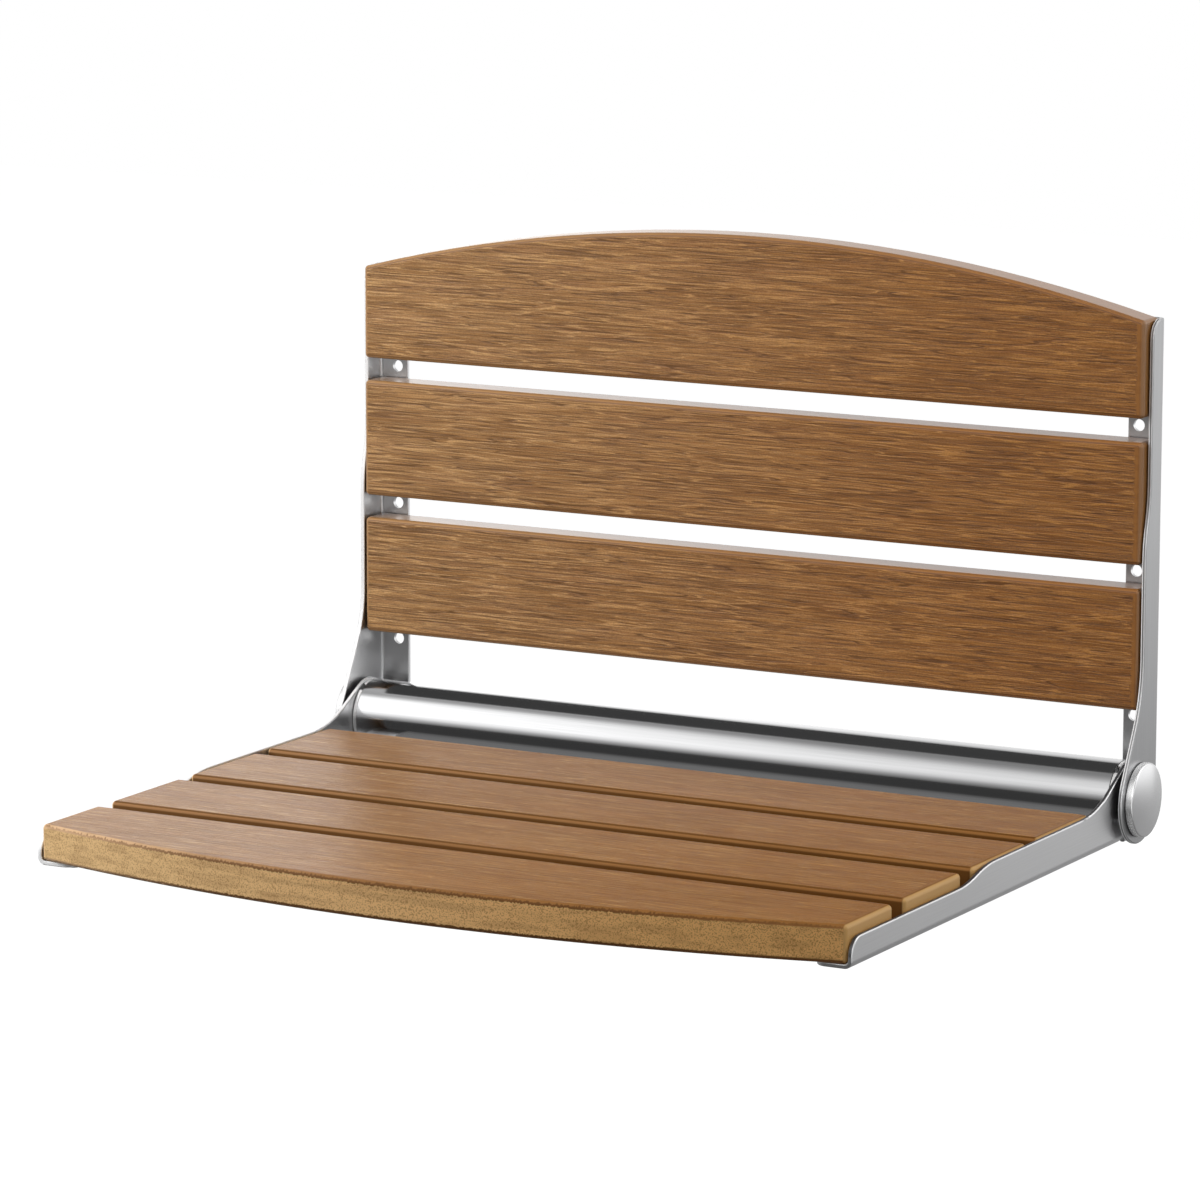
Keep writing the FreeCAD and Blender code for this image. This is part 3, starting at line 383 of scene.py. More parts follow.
@dataclass(frozen=True)
class BoardFinish:
    """Stained board: grain pressed into its broad faces, plain rounded margins, a speckled core, with
    painted sheen towards the left and painted shade towards the right.
    """

    name: str
    broad: Axis
    shift: float
    half_length: float
    colours: BoardColours
    gloss: float
    # Painted light: the colour is multiplied by a tint that runs from a paler, lighter left (painted sheen)
    # to a darker right (painted shade).
    left_painted_sheen: Colour
    right_painted_shade: Colour
    contrast: float = 1.0
    shaded_edges: float = 0.0
    top_coat: float = 0.0
    speckles: float = 0.0
    ragged: float = 0.0
    line: Fade = (0.985, 0.90)
    roughness: float = 0.36
    coat_roughness: float = 0.3
    plain_end: float = 0.0040
    end_fade: float = 0.0006
    end_waver: float = 0.004
    relief: float = 0.00028
    half_seat: float = 0.24
    pink_share: float = 0.40
    furrow_share: float = 0.34
    crest_share: float = 0.36
    dark_thread_share: float = 0.70
    pale_thread_share: float = 0.86
    dust_share: float = 0.28
    fine_share: float = 0.7
    mottle_share: float = 0.22
    speck_share: float = 0.58
    streak_share: float = 0.22
    line_share: float = 0.85
    line_fade: float = 0.03
    wave_height: float = 0.6
    thread_height: float = 0.35
    speck_height: float = 0.20
    ends: Pattern = Pattern((150.0, 900.0, 900.0), 2.0, 1.0)
    cloud: Pattern = Pattern((9.0, 60.0, 60.0), 7.0, 3.0, 0.6, (0.36, 0.64))
    blush: Pattern = Pattern((16.0, 110.0, 110.0), 11.0, 2.0, 0.6, (0.46, 0.66))
    wave: Pattern = Pattern((34.0, 900.0, 900.0), 0.0, 1.0)
    thread: Pattern = Pattern((13.0, 400.0, 400.0), 3.0, 1.0, 0.4)
    fine: Pattern = Pattern((19.0, 640.0, 640.0), 13.0, 1.0, 0.4)
    dust: Pattern = Pattern((900.0, 1600.0, 1600.0), 5.0, 1.0, 0.5, (0.35, 0.70))
    teeth: Pattern = Pattern((800.0, 260.0, 260.0), 15.0, 1.0)
    speck: Pattern = Pattern((1300.0, 1300.0, 1300.0), 17.0, 1.0, 0.5, (0.50, 0.62))
    mottle: Pattern = Pattern((20.0, 70.0, 70.0), 19.0, 2.0, 0.5, (0.60, 0.72))
    streak: Pattern = Pattern((12.0, 260.0, 260.0), 21.0, 2.0, 0.5, (0.45, 0.65))
    dark_thread: Thread = Thread(0.45, 0.028)
    dark_fine: Thread = Thread(0.44)
    pale_thread: Thread = Thread(0.55)
    pale_fine: Thread = Thread(0.56)
    above_furrow: Fade = (0.36, 0.48)
    on_crest: Fade = (0.55, 0.63)
    on_top: Fade = (0.6, 0.9)
    on_broad: Fade = (0.982, 0.998)
    above_rounding: Fade = (0.985, 0.998)
    on_rounding: Fade = (0.02, 0.08)
    off_upright: Fade = (0.05, 0.35)
    on_end: Fade = (0.25, 0.60)
    near_end: Fade = (0.10, 0.30)
    sheen_fades_off_left: Fade = (-0.24, -0.02)

    def build(self) -> Material:
        """Make the finish.

        Returns:
            The material.
        """
        material, tree = new_material(self.name)
        face = tree.facing(self.broad)
        on_face = self.pressed_area(tree, face)
        colour, height = self.grain(tree)
        edge, edge_height = self.edges(tree, face)
        # Painted sheen on the left and painted shade on the right, across the whole board.
        painted_light_gradient = tree.mix(self.to_right(tree), self.left_painted_sheen, self.right_painted_shade)
        tree.surface(
            base_color=tree.mix(1.0, tree.mix(on_face, edge, colour), painted_light_gradient, "MULTIPLY"),
            roughness=self.roughness,
            normal=tree.bump(height * on_face + edge_height * (1.0 - on_face), self.relief),
            specular_ior_level=self.gloss,
            coat_weight=tree.facing(Axis.UP).between(*self.on_top) * self.top_coat,
            coat_roughness=self.coat_roughness,
        )
        return material

    def to_right(self, tree: ShaderTree) -> Signal:
        """Return a rise from 0 at the seat's left side to 1 at its right side."""
        return tree.along(Axis.ACROSS).between(-self.half_seat, self.half_seat)

    def pressed_area(self, tree: ShaderTree, face: Signal) -> Signal:
        """Mark where the grain is pressed in.

        Args:
            tree: The board's tree.
            face: How squarely the surface looks along the broad axis.

        Returns:
            1 on the broad faces, 0 at the rounding and the plain right end.
        """
        waver = (tree.noise(self.ends, self.shift) - 0.5) * self.end_waver
        plain_from = self.half_length - self.plain_end
        at_end = (tree.along(Axis.ACROSS) + waver).between(plain_from - self.end_fade, plain_from)
        return face.between(*self.on_broad) * (1.0 - at_end)

    def grain(self, tree: ShaderTree) -> Tuple[Socket, Signal]:
        """Draw the pressed grain.

        Args:
            tree: The board's tree.

        Returns:
            Its colour and its height.
        """
        wave, thread, fine = (
            tree.noise(pattern, self.shift) for pattern in (self.wave, self.thread, self.fine)
        )
        cloud, blush, dust = (
            tree.patches(pattern, self.shift) for pattern in (self.cloud, self.blush, self.dust)
        )
        shades = self.colours
        tone = tree.mix(cloud, shades.pale, shades.middle)
        tone = tree.mix(blush * self.pink_share, tone, shades.pink)
        furrow = 1.0 - wave.between(*self.above_furrow)
        crest = wave.between(*self.on_crest)
        tone = tree.mix(furrow * self.furrow_share * self.contrast, tone, shades.groove)
        tone = tree.mix(crest * self.crest_share * self.contrast, tone, shades.core)
        dark = self.dark_thread.on(thread).at_least(self.dark_fine.on(fine) * self.fine_share)
        pale = self.pale_thread.on(thread).at_least(self.pale_fine.on(fine))
        tone = tree.mix(dark * self.dark_thread_share * self.contrast, tone, shades.groove)
        tone = tree.mix(pale * self.pale_thread_share * self.contrast, tone, shades.core)
        tone = tree.mix(dust * self.dust_share, tone, shades.groove)
        return tone, wave * self.wave_height + pale * self.thread_height - dark * self.thread_height

    def edges(self, tree: ShaderTree, face: Signal) -> Tuple[Socket, Signal]:
        """Draw the rounding, the ends and the edges, with painted sheen on the rim towards the left and
        painted shade on the upright edges where shaded_edges asks for it.

        Args:
            tree: The board's tree.
            face: How squarely the surface looks along the broad axis.

        Returns:
            Their colour and their height.
        """
        speck = tree.noise(self.speck, self.shift)
        mottle, streak = (tree.patches(pattern, self.shift) for pattern in (self.mottle, self.streak))
        shades = self.colours
        upright = 1.0 - face.between(*self.off_upright)
        rough_core = (1.0 - mottle * self.mottle_share) * upright * self.speckles
        # Painted sheen: the rim turns lighter towards the seat's left side.
        painted_sheen_at_left = 1.0 - tree.along(Axis.ACROSS).between(*self.sheen_fades_off_left)
        rim = tree.mix(painted_sheen_at_left * self.speckles, shades.margin, shades.rim_left_painted_sheen)
        core = tree.mix(rough_core, rim, tree.mix(self.to_right(tree), shades.core, shades.core_right))
        specks = speck.between(*self.speck.fade) * rough_core * self.speck_share
        core = tree.mix(specks, core, shades.core_dark)
        core = tree.mix(streak * self.streak_share, core, shades.line)
        core = tree.mix(upright * self.shaded_edges, core, shades.line)
        core = tree.mix(tree.facing(Axis.ACROSS).between(*self.on_end), core, shades.end)
        line = self.dark_line(tree, face) * self.line_share
        return tree.mix(line, core, shades.line), speck * self.speck_height * self.speckles

    def dark_line(self, tree: ShaderTree, face: Signal) -> Signal:
        """Draw the dark line that runs along the rounding.

        Args:
            tree: The board's tree.
            face: How squarely the surface looks along the broad axis.

        Returns:
            1 on the line, and 0 beside it and on the board's ends.
        """
        high, low = self.line
        ragged = (tree.noise(self.teeth, self.shift) - 0.5) * self.ragged
        above_low = (face - low + ragged).between(-self.line_fade, self.line_fade)
        below_high = 1.0 - (face - high + ragged).between(-self.line_fade, self.line_fade)
        rounding = face.between(*self.on_rounding) * (1.0 - face.between(*self.above_rounding))
        off_ends = 1.0 - tree.facing(Axis.ACROSS).between(*self.near_end)
        return above_low * below_high * rounding * off_ends


@dataclass(frozen=True)
class CutEdge:
    """Where a bent plate shows its cut edge, with painted highlights on that edge's two borders and a
    painted tone between them: shade on the brackets and arms, light on the cap's side.
    """

    inner: float
    outer: float
    bend_axis: Axis
    bend_end: float
    # Painted highlights: their strength on the inner and outer border, the borders' width, and the
    # highlight on the left side's edges and front faces.
    inner_border: float = 0.0
    outer_border: float = 1.0
    border: float = 0.00045
    left_painted_highlight: float = 0.9
    left_front_painted_highlight: float = 0.0
    dullness: float = 0.25
    border_dullness: float = 0.95
    roughening: float = 0.12
    # Painted light and shade: a near-white painted highlight on the borders, a painted middle tone (dark
    # shade on brackets and arms, near-white light on the cap's side), and a lighter steel painted on the
    # plate's inner faces.
    painted_middle_shade_and_light: Colour = (0.42, 0.42, 0.425)
    painted_highlight_colour: Colour = (0.95, 0.95, 0.95)
    inside_painted_light_colour: Colour = (0.62, 0.62, 0.625)
    edge_fade: float = 0.0002
    border_fade: float = 0.0001
    bend_fade: float = 0.002
    middle_fade: float = 0.1
    on_face: Fade = (0.35, 0.75)
    on_front: Fade = (0.5, 0.8)

    def on_left(self, tree: ShaderTree) -> Signal:
        """Return 1 on the seat's left side and 0 on its right side."""
        return 1.0 - tree.along(Axis.ACROSS).between(-self.middle_fade, self.middle_fade)

    def outside(self, tree: ShaderTree) -> Signal:
        """Return 1 on the plate's outer face and 0 within."""
        beyond = abs(tree.along(Axis.ACROSS)) - self.outer
        return beyond.between(-2 * self.edge_fade, -self.edge_fade)

    def everywhere(self, tree: ShaderTree) -> Signal:
        """Mark the plate's cut edge, where light and shade are painted.

        Args:
            tree: The plate's tree.

        Returns:
            1 on the web's edge and, on the left, on the front faces; 0 on the plate's other faces and its
            bend.
        """
        across = abs(tree.along(Axis.ACROSS))
        from_inner = (across - self.inner).between(0.0, self.edge_fade)
        to_outer = (self.outer - across).between(-self.edge_fade, 0.0)
        away = tree.along(self.bend_axis) * (1.0 if self.bend_axis is Axis.UP else -1.0)
        off_bend = (away - self.bend_end).between(0.0, self.bend_fade)
        off_faces = 1.0 - tree.facing(Axis.ACROSS).between(*self.on_face)
        on_web = from_inner * to_outer * off_bend * off_faces
        front = tree.facing(Axis.INWARD).between(*self.on_front)
        return on_web.at_least(self.on_left(tree) * front * self.left_front_painted_highlight)

    def painted_highlights(self, tree: ShaderTree) -> Signal:
        """Mark the painted highlights: the edge's two borders towards the plate's faces, and the whole edge
        on the left side.

        Args:
            tree: The plate's tree.

        Returns:
            How strong the painted highlight is, from 0 to 1.
        """
        across = abs(tree.along(Axis.ACROSS))
        fade = (-self.border_fade, self.border_fade)
        near_outer = (across - self.outer + self.border).between(*fade)
        near_inner = (self.inner + self.border - across).between(*fade)
        borders = near_outer * self.outer_border + near_inner * self.inner_border
        return borders.at_least(self.on_left(tree) * self.left_painted_highlight)


@dataclass(frozen=True)
class SteelFinish:
    """Brushed stainless steel with fine lines along one axis, and painted light and shade on a plate's cut
    edge where it has one.
    """

    name: str
    along: Axis
    colour: Colour = (0.66, 0.66, 0.665)
    roughness: float = 0.24
    line_depth: float = 0.000004
    lines_per_metre: float = 1500.0
    line_length: float = 90.0
    line_fade: Fade = (0.30, 0.72)
    line_share: float = 0.5
    line_shade: float = 0.90
    line_roughness: float = 0.10
    soft_roughness: float = 0.04
    soft: Pattern = Pattern((14.0, 14.0, 14.0), 5.0)
    metallic: float = 1.0
    cut_edge: Optional[CutEdge] = None

    def build(self) -> Material:
        """Make the finish.

        Returns:
            The material.
        """
        material, tree = new_material(self.name)
        scale = [self.lines_per_metre] * 3
        scale[self.along.value] = self.lines_per_metre / self.line_length
        lines = tree.noise(Pattern(tuple(scale), 2.0, rough=0.6))
        soft = tree.noise(self.soft)
        shaded = tuple(part * self.line_shade for part in self.colour)
        line_mask = lines.between(*self.line_fade) * self.line_share
        colour = tree.mix(line_mask, self.colour, shaded)
        metallic: Link = self.metallic
        unevenness = (lines - 0.5) * self.line_roughness
        roughness: Link = self.roughness + unevenness + (soft - 0.5) * self.soft_roughness
        # A cut edge paints highlights and shade into the colour, and dulls the edge so that the lamps light
        # it.
        if self.cut_edge:
            plate = self.cut_edge
            # Painted light: the plate's inner faces take a lighter steel than its outer face.
            colour = tree.mix(plate.outside(tree), plate.inside_painted_light_colour, colour)
            edge, border = plate.everywhere(tree), plate.painted_highlights(tree)
            painted_edge_tone = tree.mix(border, plate.painted_middle_shade_and_light, plate.painted_highlight_colour)
            colour = tree.mix(edge, colour, painted_edge_tone)
            duller = border * (plate.border_dullness - plate.dullness)
            metallic = 1.0 - edge * (plate.dullness + duller)
            roughness = roughness + edge * plate.roughening
        normal = tree.bump(lines, self.line_depth)
        tree.surface(base_color=colour, metallic=metallic, roughness=roughness, normal=normal)
        return material


@dataclass(frozen=True)
class PlasticFinish:
    """Plain moulded plastic with a faint pebble."""

    name: str
    colour: Colour = (0.025, 0.025, 0.027)
    roughness: float = 0.42
    pebble_roughness: float = 0.12
    pebble_depth: float = 0.00002
    pebble: Pattern = Pattern((1800.0, 1800.0, 1800.0), 1.0)

    def build(self) -> Material:
        """Make the finish.

        Returns:
            The material.
        """
        material, tree = new_material(self.name)
        pebble = tree.noise(self.pebble)
        tree.surface(
            base_color=self.colour,
            roughness=self.roughness + pebble * self.pebble_roughness,
            normal=tree.bump(pebble, self.pebble_depth),
        )
        return material


# ------------------------------------------------------------------ workshop


class Pick(Enum):
    """What is selected in edit mode."""

    EDGE = "edges"
    FACE = "polygons"


def new_piece(add: Callable, name: str, stretch: Point = (1.0, 1.0, 1.0), **settings: object) -> Piece:
    """Add one of Blender's primitives, and select nothing else.

    Args:
        add: The operator that adds it.
        name: The new piece's name.
        stretch: How it is scaled along its own axes.
        **settings: The operator's settings.

    Returns:
        The piece, with its place in its mesh.
    """
    bpy.ops.object.select_all(action="DESELECT")
    add(**settings)
    piece = bpy.context.object
    piece.name = piece.data.name = name
    piece.scale = stretch
    bpy.ops.object.transform_apply(location=True, rotation=True, scale=True)
    return piece


def choose(piece: Piece, kind: Pick, wanted: Callable[[Vector, Vector], bool]) -> None:
    """Enter edit mode with some faces or edges of a piece selected.

    Args:
        piece: The piece.
        kind: Whether faces or edges are selected.
        wanted: Says yes to the middle and the normal of a face, or the middle and the run of an edge.
    """
    leave_edit()
    mesh = piece.data
    for items in (mesh.vertices, mesh.edges, mesh.polygons):
        items.foreach_set("select", [False] * len(items))
    bpy.context.tool_settings.mesh_select_mode = (False, kind is Pick.EDGE, kind is Pick.FACE)
    for item in getattr(mesh, kind.value):
        if kind is Pick.FACE:
            item.select = wanted(item.center, item.normal)
        else:
            first, last = (mesh.vertices[index].co for index in item.vertices)
            item.select = wanted((first + last) / 2, (last - first).normalized())
    bpy.ops.object.mode_set(mode="EDIT")


def choose_all(piece: Piece) -> None:
    """Enter edit mode with the whole piece selected."""
    choose(piece, Pick.FACE, lambda place, normal: True)


def leave_edit() -> None:
    """Go back to object mode."""
    if bpy.context.mode != "OBJECT":
        bpy.ops.object.mode_set(mode="OBJECT")


def extrude(move: Point, widen: Point = (1.0, 1.0, 1.0)) -> None:
    """Extrude what is selected, then move and scale the new end.

    Args:
        move: How far the new end is moved.
        widen: How it is scaled along each axis.
    """
    bpy.ops.mesh.extrude_region()
    bpy.ops.transform.translate(value=move)
    bpy.ops.transform.resize(value=widen)


def close_up(piece: Piece, merge_below: float = 0.000002, smooth_below: float = 35.0) -> None:
    """Merge doubles, point all faces outwards and smooth the soft edges.

    Args:
        piece: The piece.
        merge_below: The distance below which corners are merged.
        smooth_below: The largest angle between two faces that is shaded smooth, in degrees.
    """
    choose_all(piece)
    bpy.ops.mesh.remove_doubles(threshold=merge_below)
    bpy.ops.mesh.normals_make_consistent(inside=False)
    leave_edit()
    only(piece)
    bpy.ops.object.shade_smooth_by_angle(angle=math.radians(smooth_below))


def only(piece: Piece) -> None:
    """Select one piece and nothing else.

    Args:
        piece: The piece.
    """
    bpy.ops.object.select_all(action="DESELECT")
    piece.select_set(True)
    bpy.context.view_layer.objects.active = piece


def copy_of(piece: Piece, name: str, move: Matrix) -> Piece:
    """Copy a piece with a mesh of its own.

    Args:
        piece: The piece that is copied.
        name: The copy's name.
        move: How the copy's mesh is moved.

    Returns:
        The copy, with its place in its mesh.
    """
    copy = piece.copy()
    copy.data = piece.data.copy()
    copy.name = copy.data.name = name
    copy.data.transform(move)
    bpy.context.scene.collection.objects.link(copy)
    return copy


def with_modifier(piece: Piece, kind: str, **settings: object) -> None:
    """Add a modifier to a piece and apply it.

    Args:
        piece: The piece.
        kind: Blender's name of the modifier.
        **settings: The modifier's settings.
    """
    only(piece)
    modifier = piece.modifiers.new(kind.lower(), kind)
    for name, value in settings.items():
        setattr(modifier, name, value)
    bpy.ops.object.modifier_apply(modifier=modifier.name)


def hand_over(piece: Piece, finish: Material, body: str, node: str) -> str:
    """Give a new piece its finish and its body, and hide the CAD node that it stands for.

    Args:
        piece: The piece.
        finish: Its material.
        body: The body that it rides on.
        node: The CAD node that it replaces.

    Returns:
        The piece's name.
    """
    piece.data.materials.clear()
    piece.data.materials.append(finish)
    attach(piece, body)
    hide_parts(node)
    return piece.name


@dataclass
class Screw:
    """A turned screw with a hexagon socket, modelled once and copied into every place."""

    label: str
    node: str
    body: str
    places: Sequence[Point]
    shank_radius: float = 0.0020
    head_radius: float = 0.0040
    flush_rim: float = 0.0003
    flush_round: float = 0.00008
    pan_round: float = 0.0011
    tip: float = 0.0020
    tip_taper: float = 0.25
    socket_radius: float = 0.0017
    socket_depth: float = 0.0012
    sides: int = 32
    round_steps: int = 4
    colour: Colour = (0.58, 0.58, 0.585)
    roughness: float = 0.26

    def build(self, countersunk: bool, head: float, length: float) -> List[str]:
        """Model the screw pointing up from the level of its seat, and copy it.

        Args:
            countersunk: Whether the head is a cone that lies flush, or a pan that stands below.
            head: The height of the head.
            length: From the seat's level to the tip.

        Returns:
            The names of the copies.
        """
        screw = self.shape(countersunk, head, length)
        finish = SteelFinish("turned_" + self.label, Axis.UP, self.colour, self.roughness).build()
        turn = Matrix.Rotation(math.pi / 2, 4, "X") if countersunk else Matrix.Identity(4)
        names = []
        for count, place in enumerate(self.places, 1):
            copy = copy_of(screw, f"{self.label}_{count}", Matrix.Translation(place) @ turn)
            names.append(hand_over(copy, finish, self.body, self.node))
        bpy.data.objects.remove(screw)
        return names

    def shape(self, countersunk: bool, head: float, length: float) -> Piece:
        """Model the screw.

        Args:
            countersunk: Whether the head is a cone or a pan.
            head: The height of the head.
            length: From the seat's level to the tip.

        Returns:
            The pattern from which the copies are made.
        """
        narrow = self.shank_radius / self.head_radius
        thick = self.flush_rim if countersunk else head
        screw = new_piece(
            bpy.ops.mesh.primitive_cylinder_add, self.label + "_pattern", vertices=self.sides,
            radius=self.head_radius, depth=thick, end_fill_type="NGON",
            location=(0.0, 0.0, thick / 2 if countersunk else -thick / 2),
        )
        choose(screw, Pick.FACE, lambda place, normal: normal.z > ALONG)
        if countersunk:
            extrude((0.0, 0.0, head - thick), (narrow, narrow, 1.0))
            extrude((0.0, 0.0, length - self.tip - head))
        else:
            bpy.ops.mesh.inset(thickness=self.head_radius - self.shank_radius)
            extrude((0.0, 0.0, length - self.tip))
        extrude((0.0, 0.0, self.tip), (self.tip_taper, self.tip_taper, 1.0))
        low = 0.0 if countersunk else -head
        choose(screw, Pick.EDGE, lambda place, run: abs(place.z - low) < NEAR)
        rounding = self.flush_round if countersunk else self.pan_round
        bpy.ops.mesh.bevel(offset=rounding, segments=self.round_steps, affect="EDGES")
        leave_edit()
        self.cut_socket(screw, low)
        close_up(screw)
        return screw

    def cut_socket(self, screw: Piece, low: float) -> None:
        """Cut the hexagon socket into the head.

        Args:
            screw: The screw.
            low: The level of the head's outer face.
        """
        cutter = new_piece(
            bpy.ops.mesh.primitive_cylinder_add, self.label + "_cutter", vertices=6,
            radius=self.socket_radius, depth=2 * self.socket_depth, location=(0.0, 0.0, low),
        )
        with_modifier(screw, "BOOLEAN", object=cutter, operation="DIFFERENCE", solver="EXACT")
        bpy.data.objects.remove(cutter)


# ------------------------------------------------------------------ sub-assemblies


def dress(nodes: Iterable[str], material: Material) -> List[str]:
    """Give CAD nodes a material through their slots.

    Args:
        nodes: The nodes' names.
        material: What they are made of.

    Returns:
        The names, for the log.
    """
    names = list(nodes)
    for name in names:
        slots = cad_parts[name].material_slots
        for slot in slots:
            slot.material = material
        if not slots:
            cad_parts[name].data.materials.append(material)
    return names


@dataclass
class BackRest:
    """Three upright slats on the wall brackets, with their screws."""

    slats: Tuple[str, ...] = ("back_slat_lower", "back_slat_middle", "back_slat_top")
    first_shift: float = 1.7
    shift_step: float = 4.3
    gloss: float = 0.6
    top_coat: float = 0.6
    # Painted sheen on the left, painted shade on the right.
    left_painted_sheen: Colour = (1.06, 1.11, 1.14)
    right_painted_shade: Colour = (0.93, 0.76, 0.46)
    colours: BoardColours = BoardColours(
        pale=(0.385, 0.194, 0.072), middle=(0.305, 0.145, 0.048), pink=(0.335, 0.162, 0.070),
        groove=(0.084, 0.034, 0.010), margin=(0.340, 0.170, 0.062), line=(0.150, 0.066, 0.020),
        core=(0.560, 0.310, 0.125), core_right=(0.560, 0.310, 0.125), rim_left_painted_sheen=(0.340, 0.170, 0.062),
        core_dark=(0.175, 0.090, 0.028), end=(0.300, 0.165, 0.075),
    )
    screw_across: float = 0.233
    screw_heights: Tuple[float, ...] = (-0.0595, -0.0205, 0.0205, 0.0595, 0.1005, 0.1255)
    screw_head: float = 0.0020
    screw_length: float = 0.0165

    def build(self) -> List[str]:
        """Dress the slats and add the screws.

        Returns:
            The names of all pieces.
        """
        for count, name in enumerate(self.slats):
            finish = BoardFinish(
                "stained_" + name, Axis.INWARD, self.first_shift + self.shift_step * count,
                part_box(name)[1].x, self.colours, self.gloss, self.left_painted_sheen, self.right_painted_shade,
                top_coat=self.top_coat,
            )
            dress([name], finish.build())
        places = [(side * self.screw_across, 0.0, up) for side in (-1, 1) for up in self.screw_heights]
        screws = Screw("back_slat_screw", "back_slat_screws", "wall_frame", places)
        return list(self.slats) + screws.build(True, self.screw_head, self.screw_length)


@dataclass
class SeatPan:
    """Four level slats on the seat arms, with their screws."""

    slats: Tuple[str, ...] = ("seat_slat_rear", "seat_slat_third", "seat_slat_second", "seat_slat_front")
    first_shift: float = 23.1
    shift_step: float = 5.9
    gloss: float = 0.16
    contrast: float = 0.55
    # Painted sheen on the left, painted shade on the right.
    left_painted_sheen: Colour = (0.98, 1.0, 1.08)
    right_painted_shade: Colour = (0.97, 0.86, 0.60)
    # The lighter left rim colour of these boards is painted sheen.
    colours: BoardColours = BoardColours(
        pale=(0.350, 0.154, 0.038), middle=(0.290, 0.122, 0.025), pink=(0.315, 0.137, 0.042),
        groove=(0.120, 0.049, 0.011), margin=(0.290, 0.140, 0.050), line=(0.120, 0.052, 0.014),
        core=(0.686, 0.449, 0.202), core_right=(0.880, 0.553, 0.280), rim_left_painted_sheen=(0.600, 0.380, 0.200),
        core_dark=(0.280, 0.150, 0.050), end=(0.660, 0.430, 0.215),
    )
    screw_across: float = 0.228
    screw_places: Tuple[float, ...] = (-0.087, -0.126, -0.167, -0.206, -0.247, -0.286, -0.327, -0.352)
    under_arm: float = -0.144
    screw_head: float = 0.0024
    screw_length: float = 0.0165

    def build(self) -> List[str]:
        """Dress the slats and add the screws.

        Returns:
            The names of all pieces.
        """
        bowed_edge = {"speckles": 1.0, "ragged": 1.1, "line": (0.66, 0.14)}
        plain_edge = {"shaded_edges": 0.8, "ragged": 0.1, "line": (0.985, 0.74)}
        for count, name in enumerate(self.slats):
            finish = BoardFinish(
                "stained_" + name, Axis.UP, self.first_shift + self.shift_step * count,
                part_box(name)[1].x, self.colours, self.gloss, self.left_painted_sheen, self.right_painted_shade,
                self.contrast, **(bowed_edge if name.endswith("front") else plain_edge),
            )
            dress([name], finish.build())
        rows = [(side * self.screw_across, out) for side in (-1, 1) for out in self.screw_places]
        places = [(across, out, self.under_arm) for across, out in rows]
        screws = Screw("seat_slat_screw", "seat_slat_screws", "seat", places)
        return list(self.slats) + screws.build(False, self.screw_head, self.screw_length)


@dataclass
class SideFrames:
    """The bent brackets on the wall and the bent arms under the seat."""

    bracket_colour: Colour = (0.32, 0.32, 0.325)
    arm_colour: Colour = (0.56, 0.56, 0.565)
    roughness: float = 0.32
    # The bracket and arm edges carry painted highlights on their borders and painted shade between them.
    bracket_edge: CutEdge = CutEdge(
        0.2445, 0.2470, Axis.INWARD, 0.006, inner_border=1.0, outer_border=0.7, border=0.0009,
        painted_middle_shade_and_light=(0.22, 0.22, 0.225),
    )
    arm_edge: CutEdge = CutEdge(
        0.2395, 0.2420, Axis.UP, -0.139, border=0.0005, left_front_painted_highlight=1.0, painted_middle_shade_and_light=(0.10, 0.10, 0.105)
    )

    def build(self) -> List[str]:
        """Dress both brackets and both arms.

        Returns:
            Their names.
        """
        kinds = (
            ("brushed_bracket", Axis.UP, self.bracket_colour, self.bracket_edge, "_wall_bracket"),
            ("brushed_arm", Axis.INWARD, self.arm_colour, self.arm_edge, "_seat_arm"),
        )
        names = []
        for label, along, colour, edge, node in kinds:
            steel = SteelFinish(label, along, colour, self.roughness, cut_edge=edge).build()
            names += dress([side + node for side in SIDES], steel)
        return names


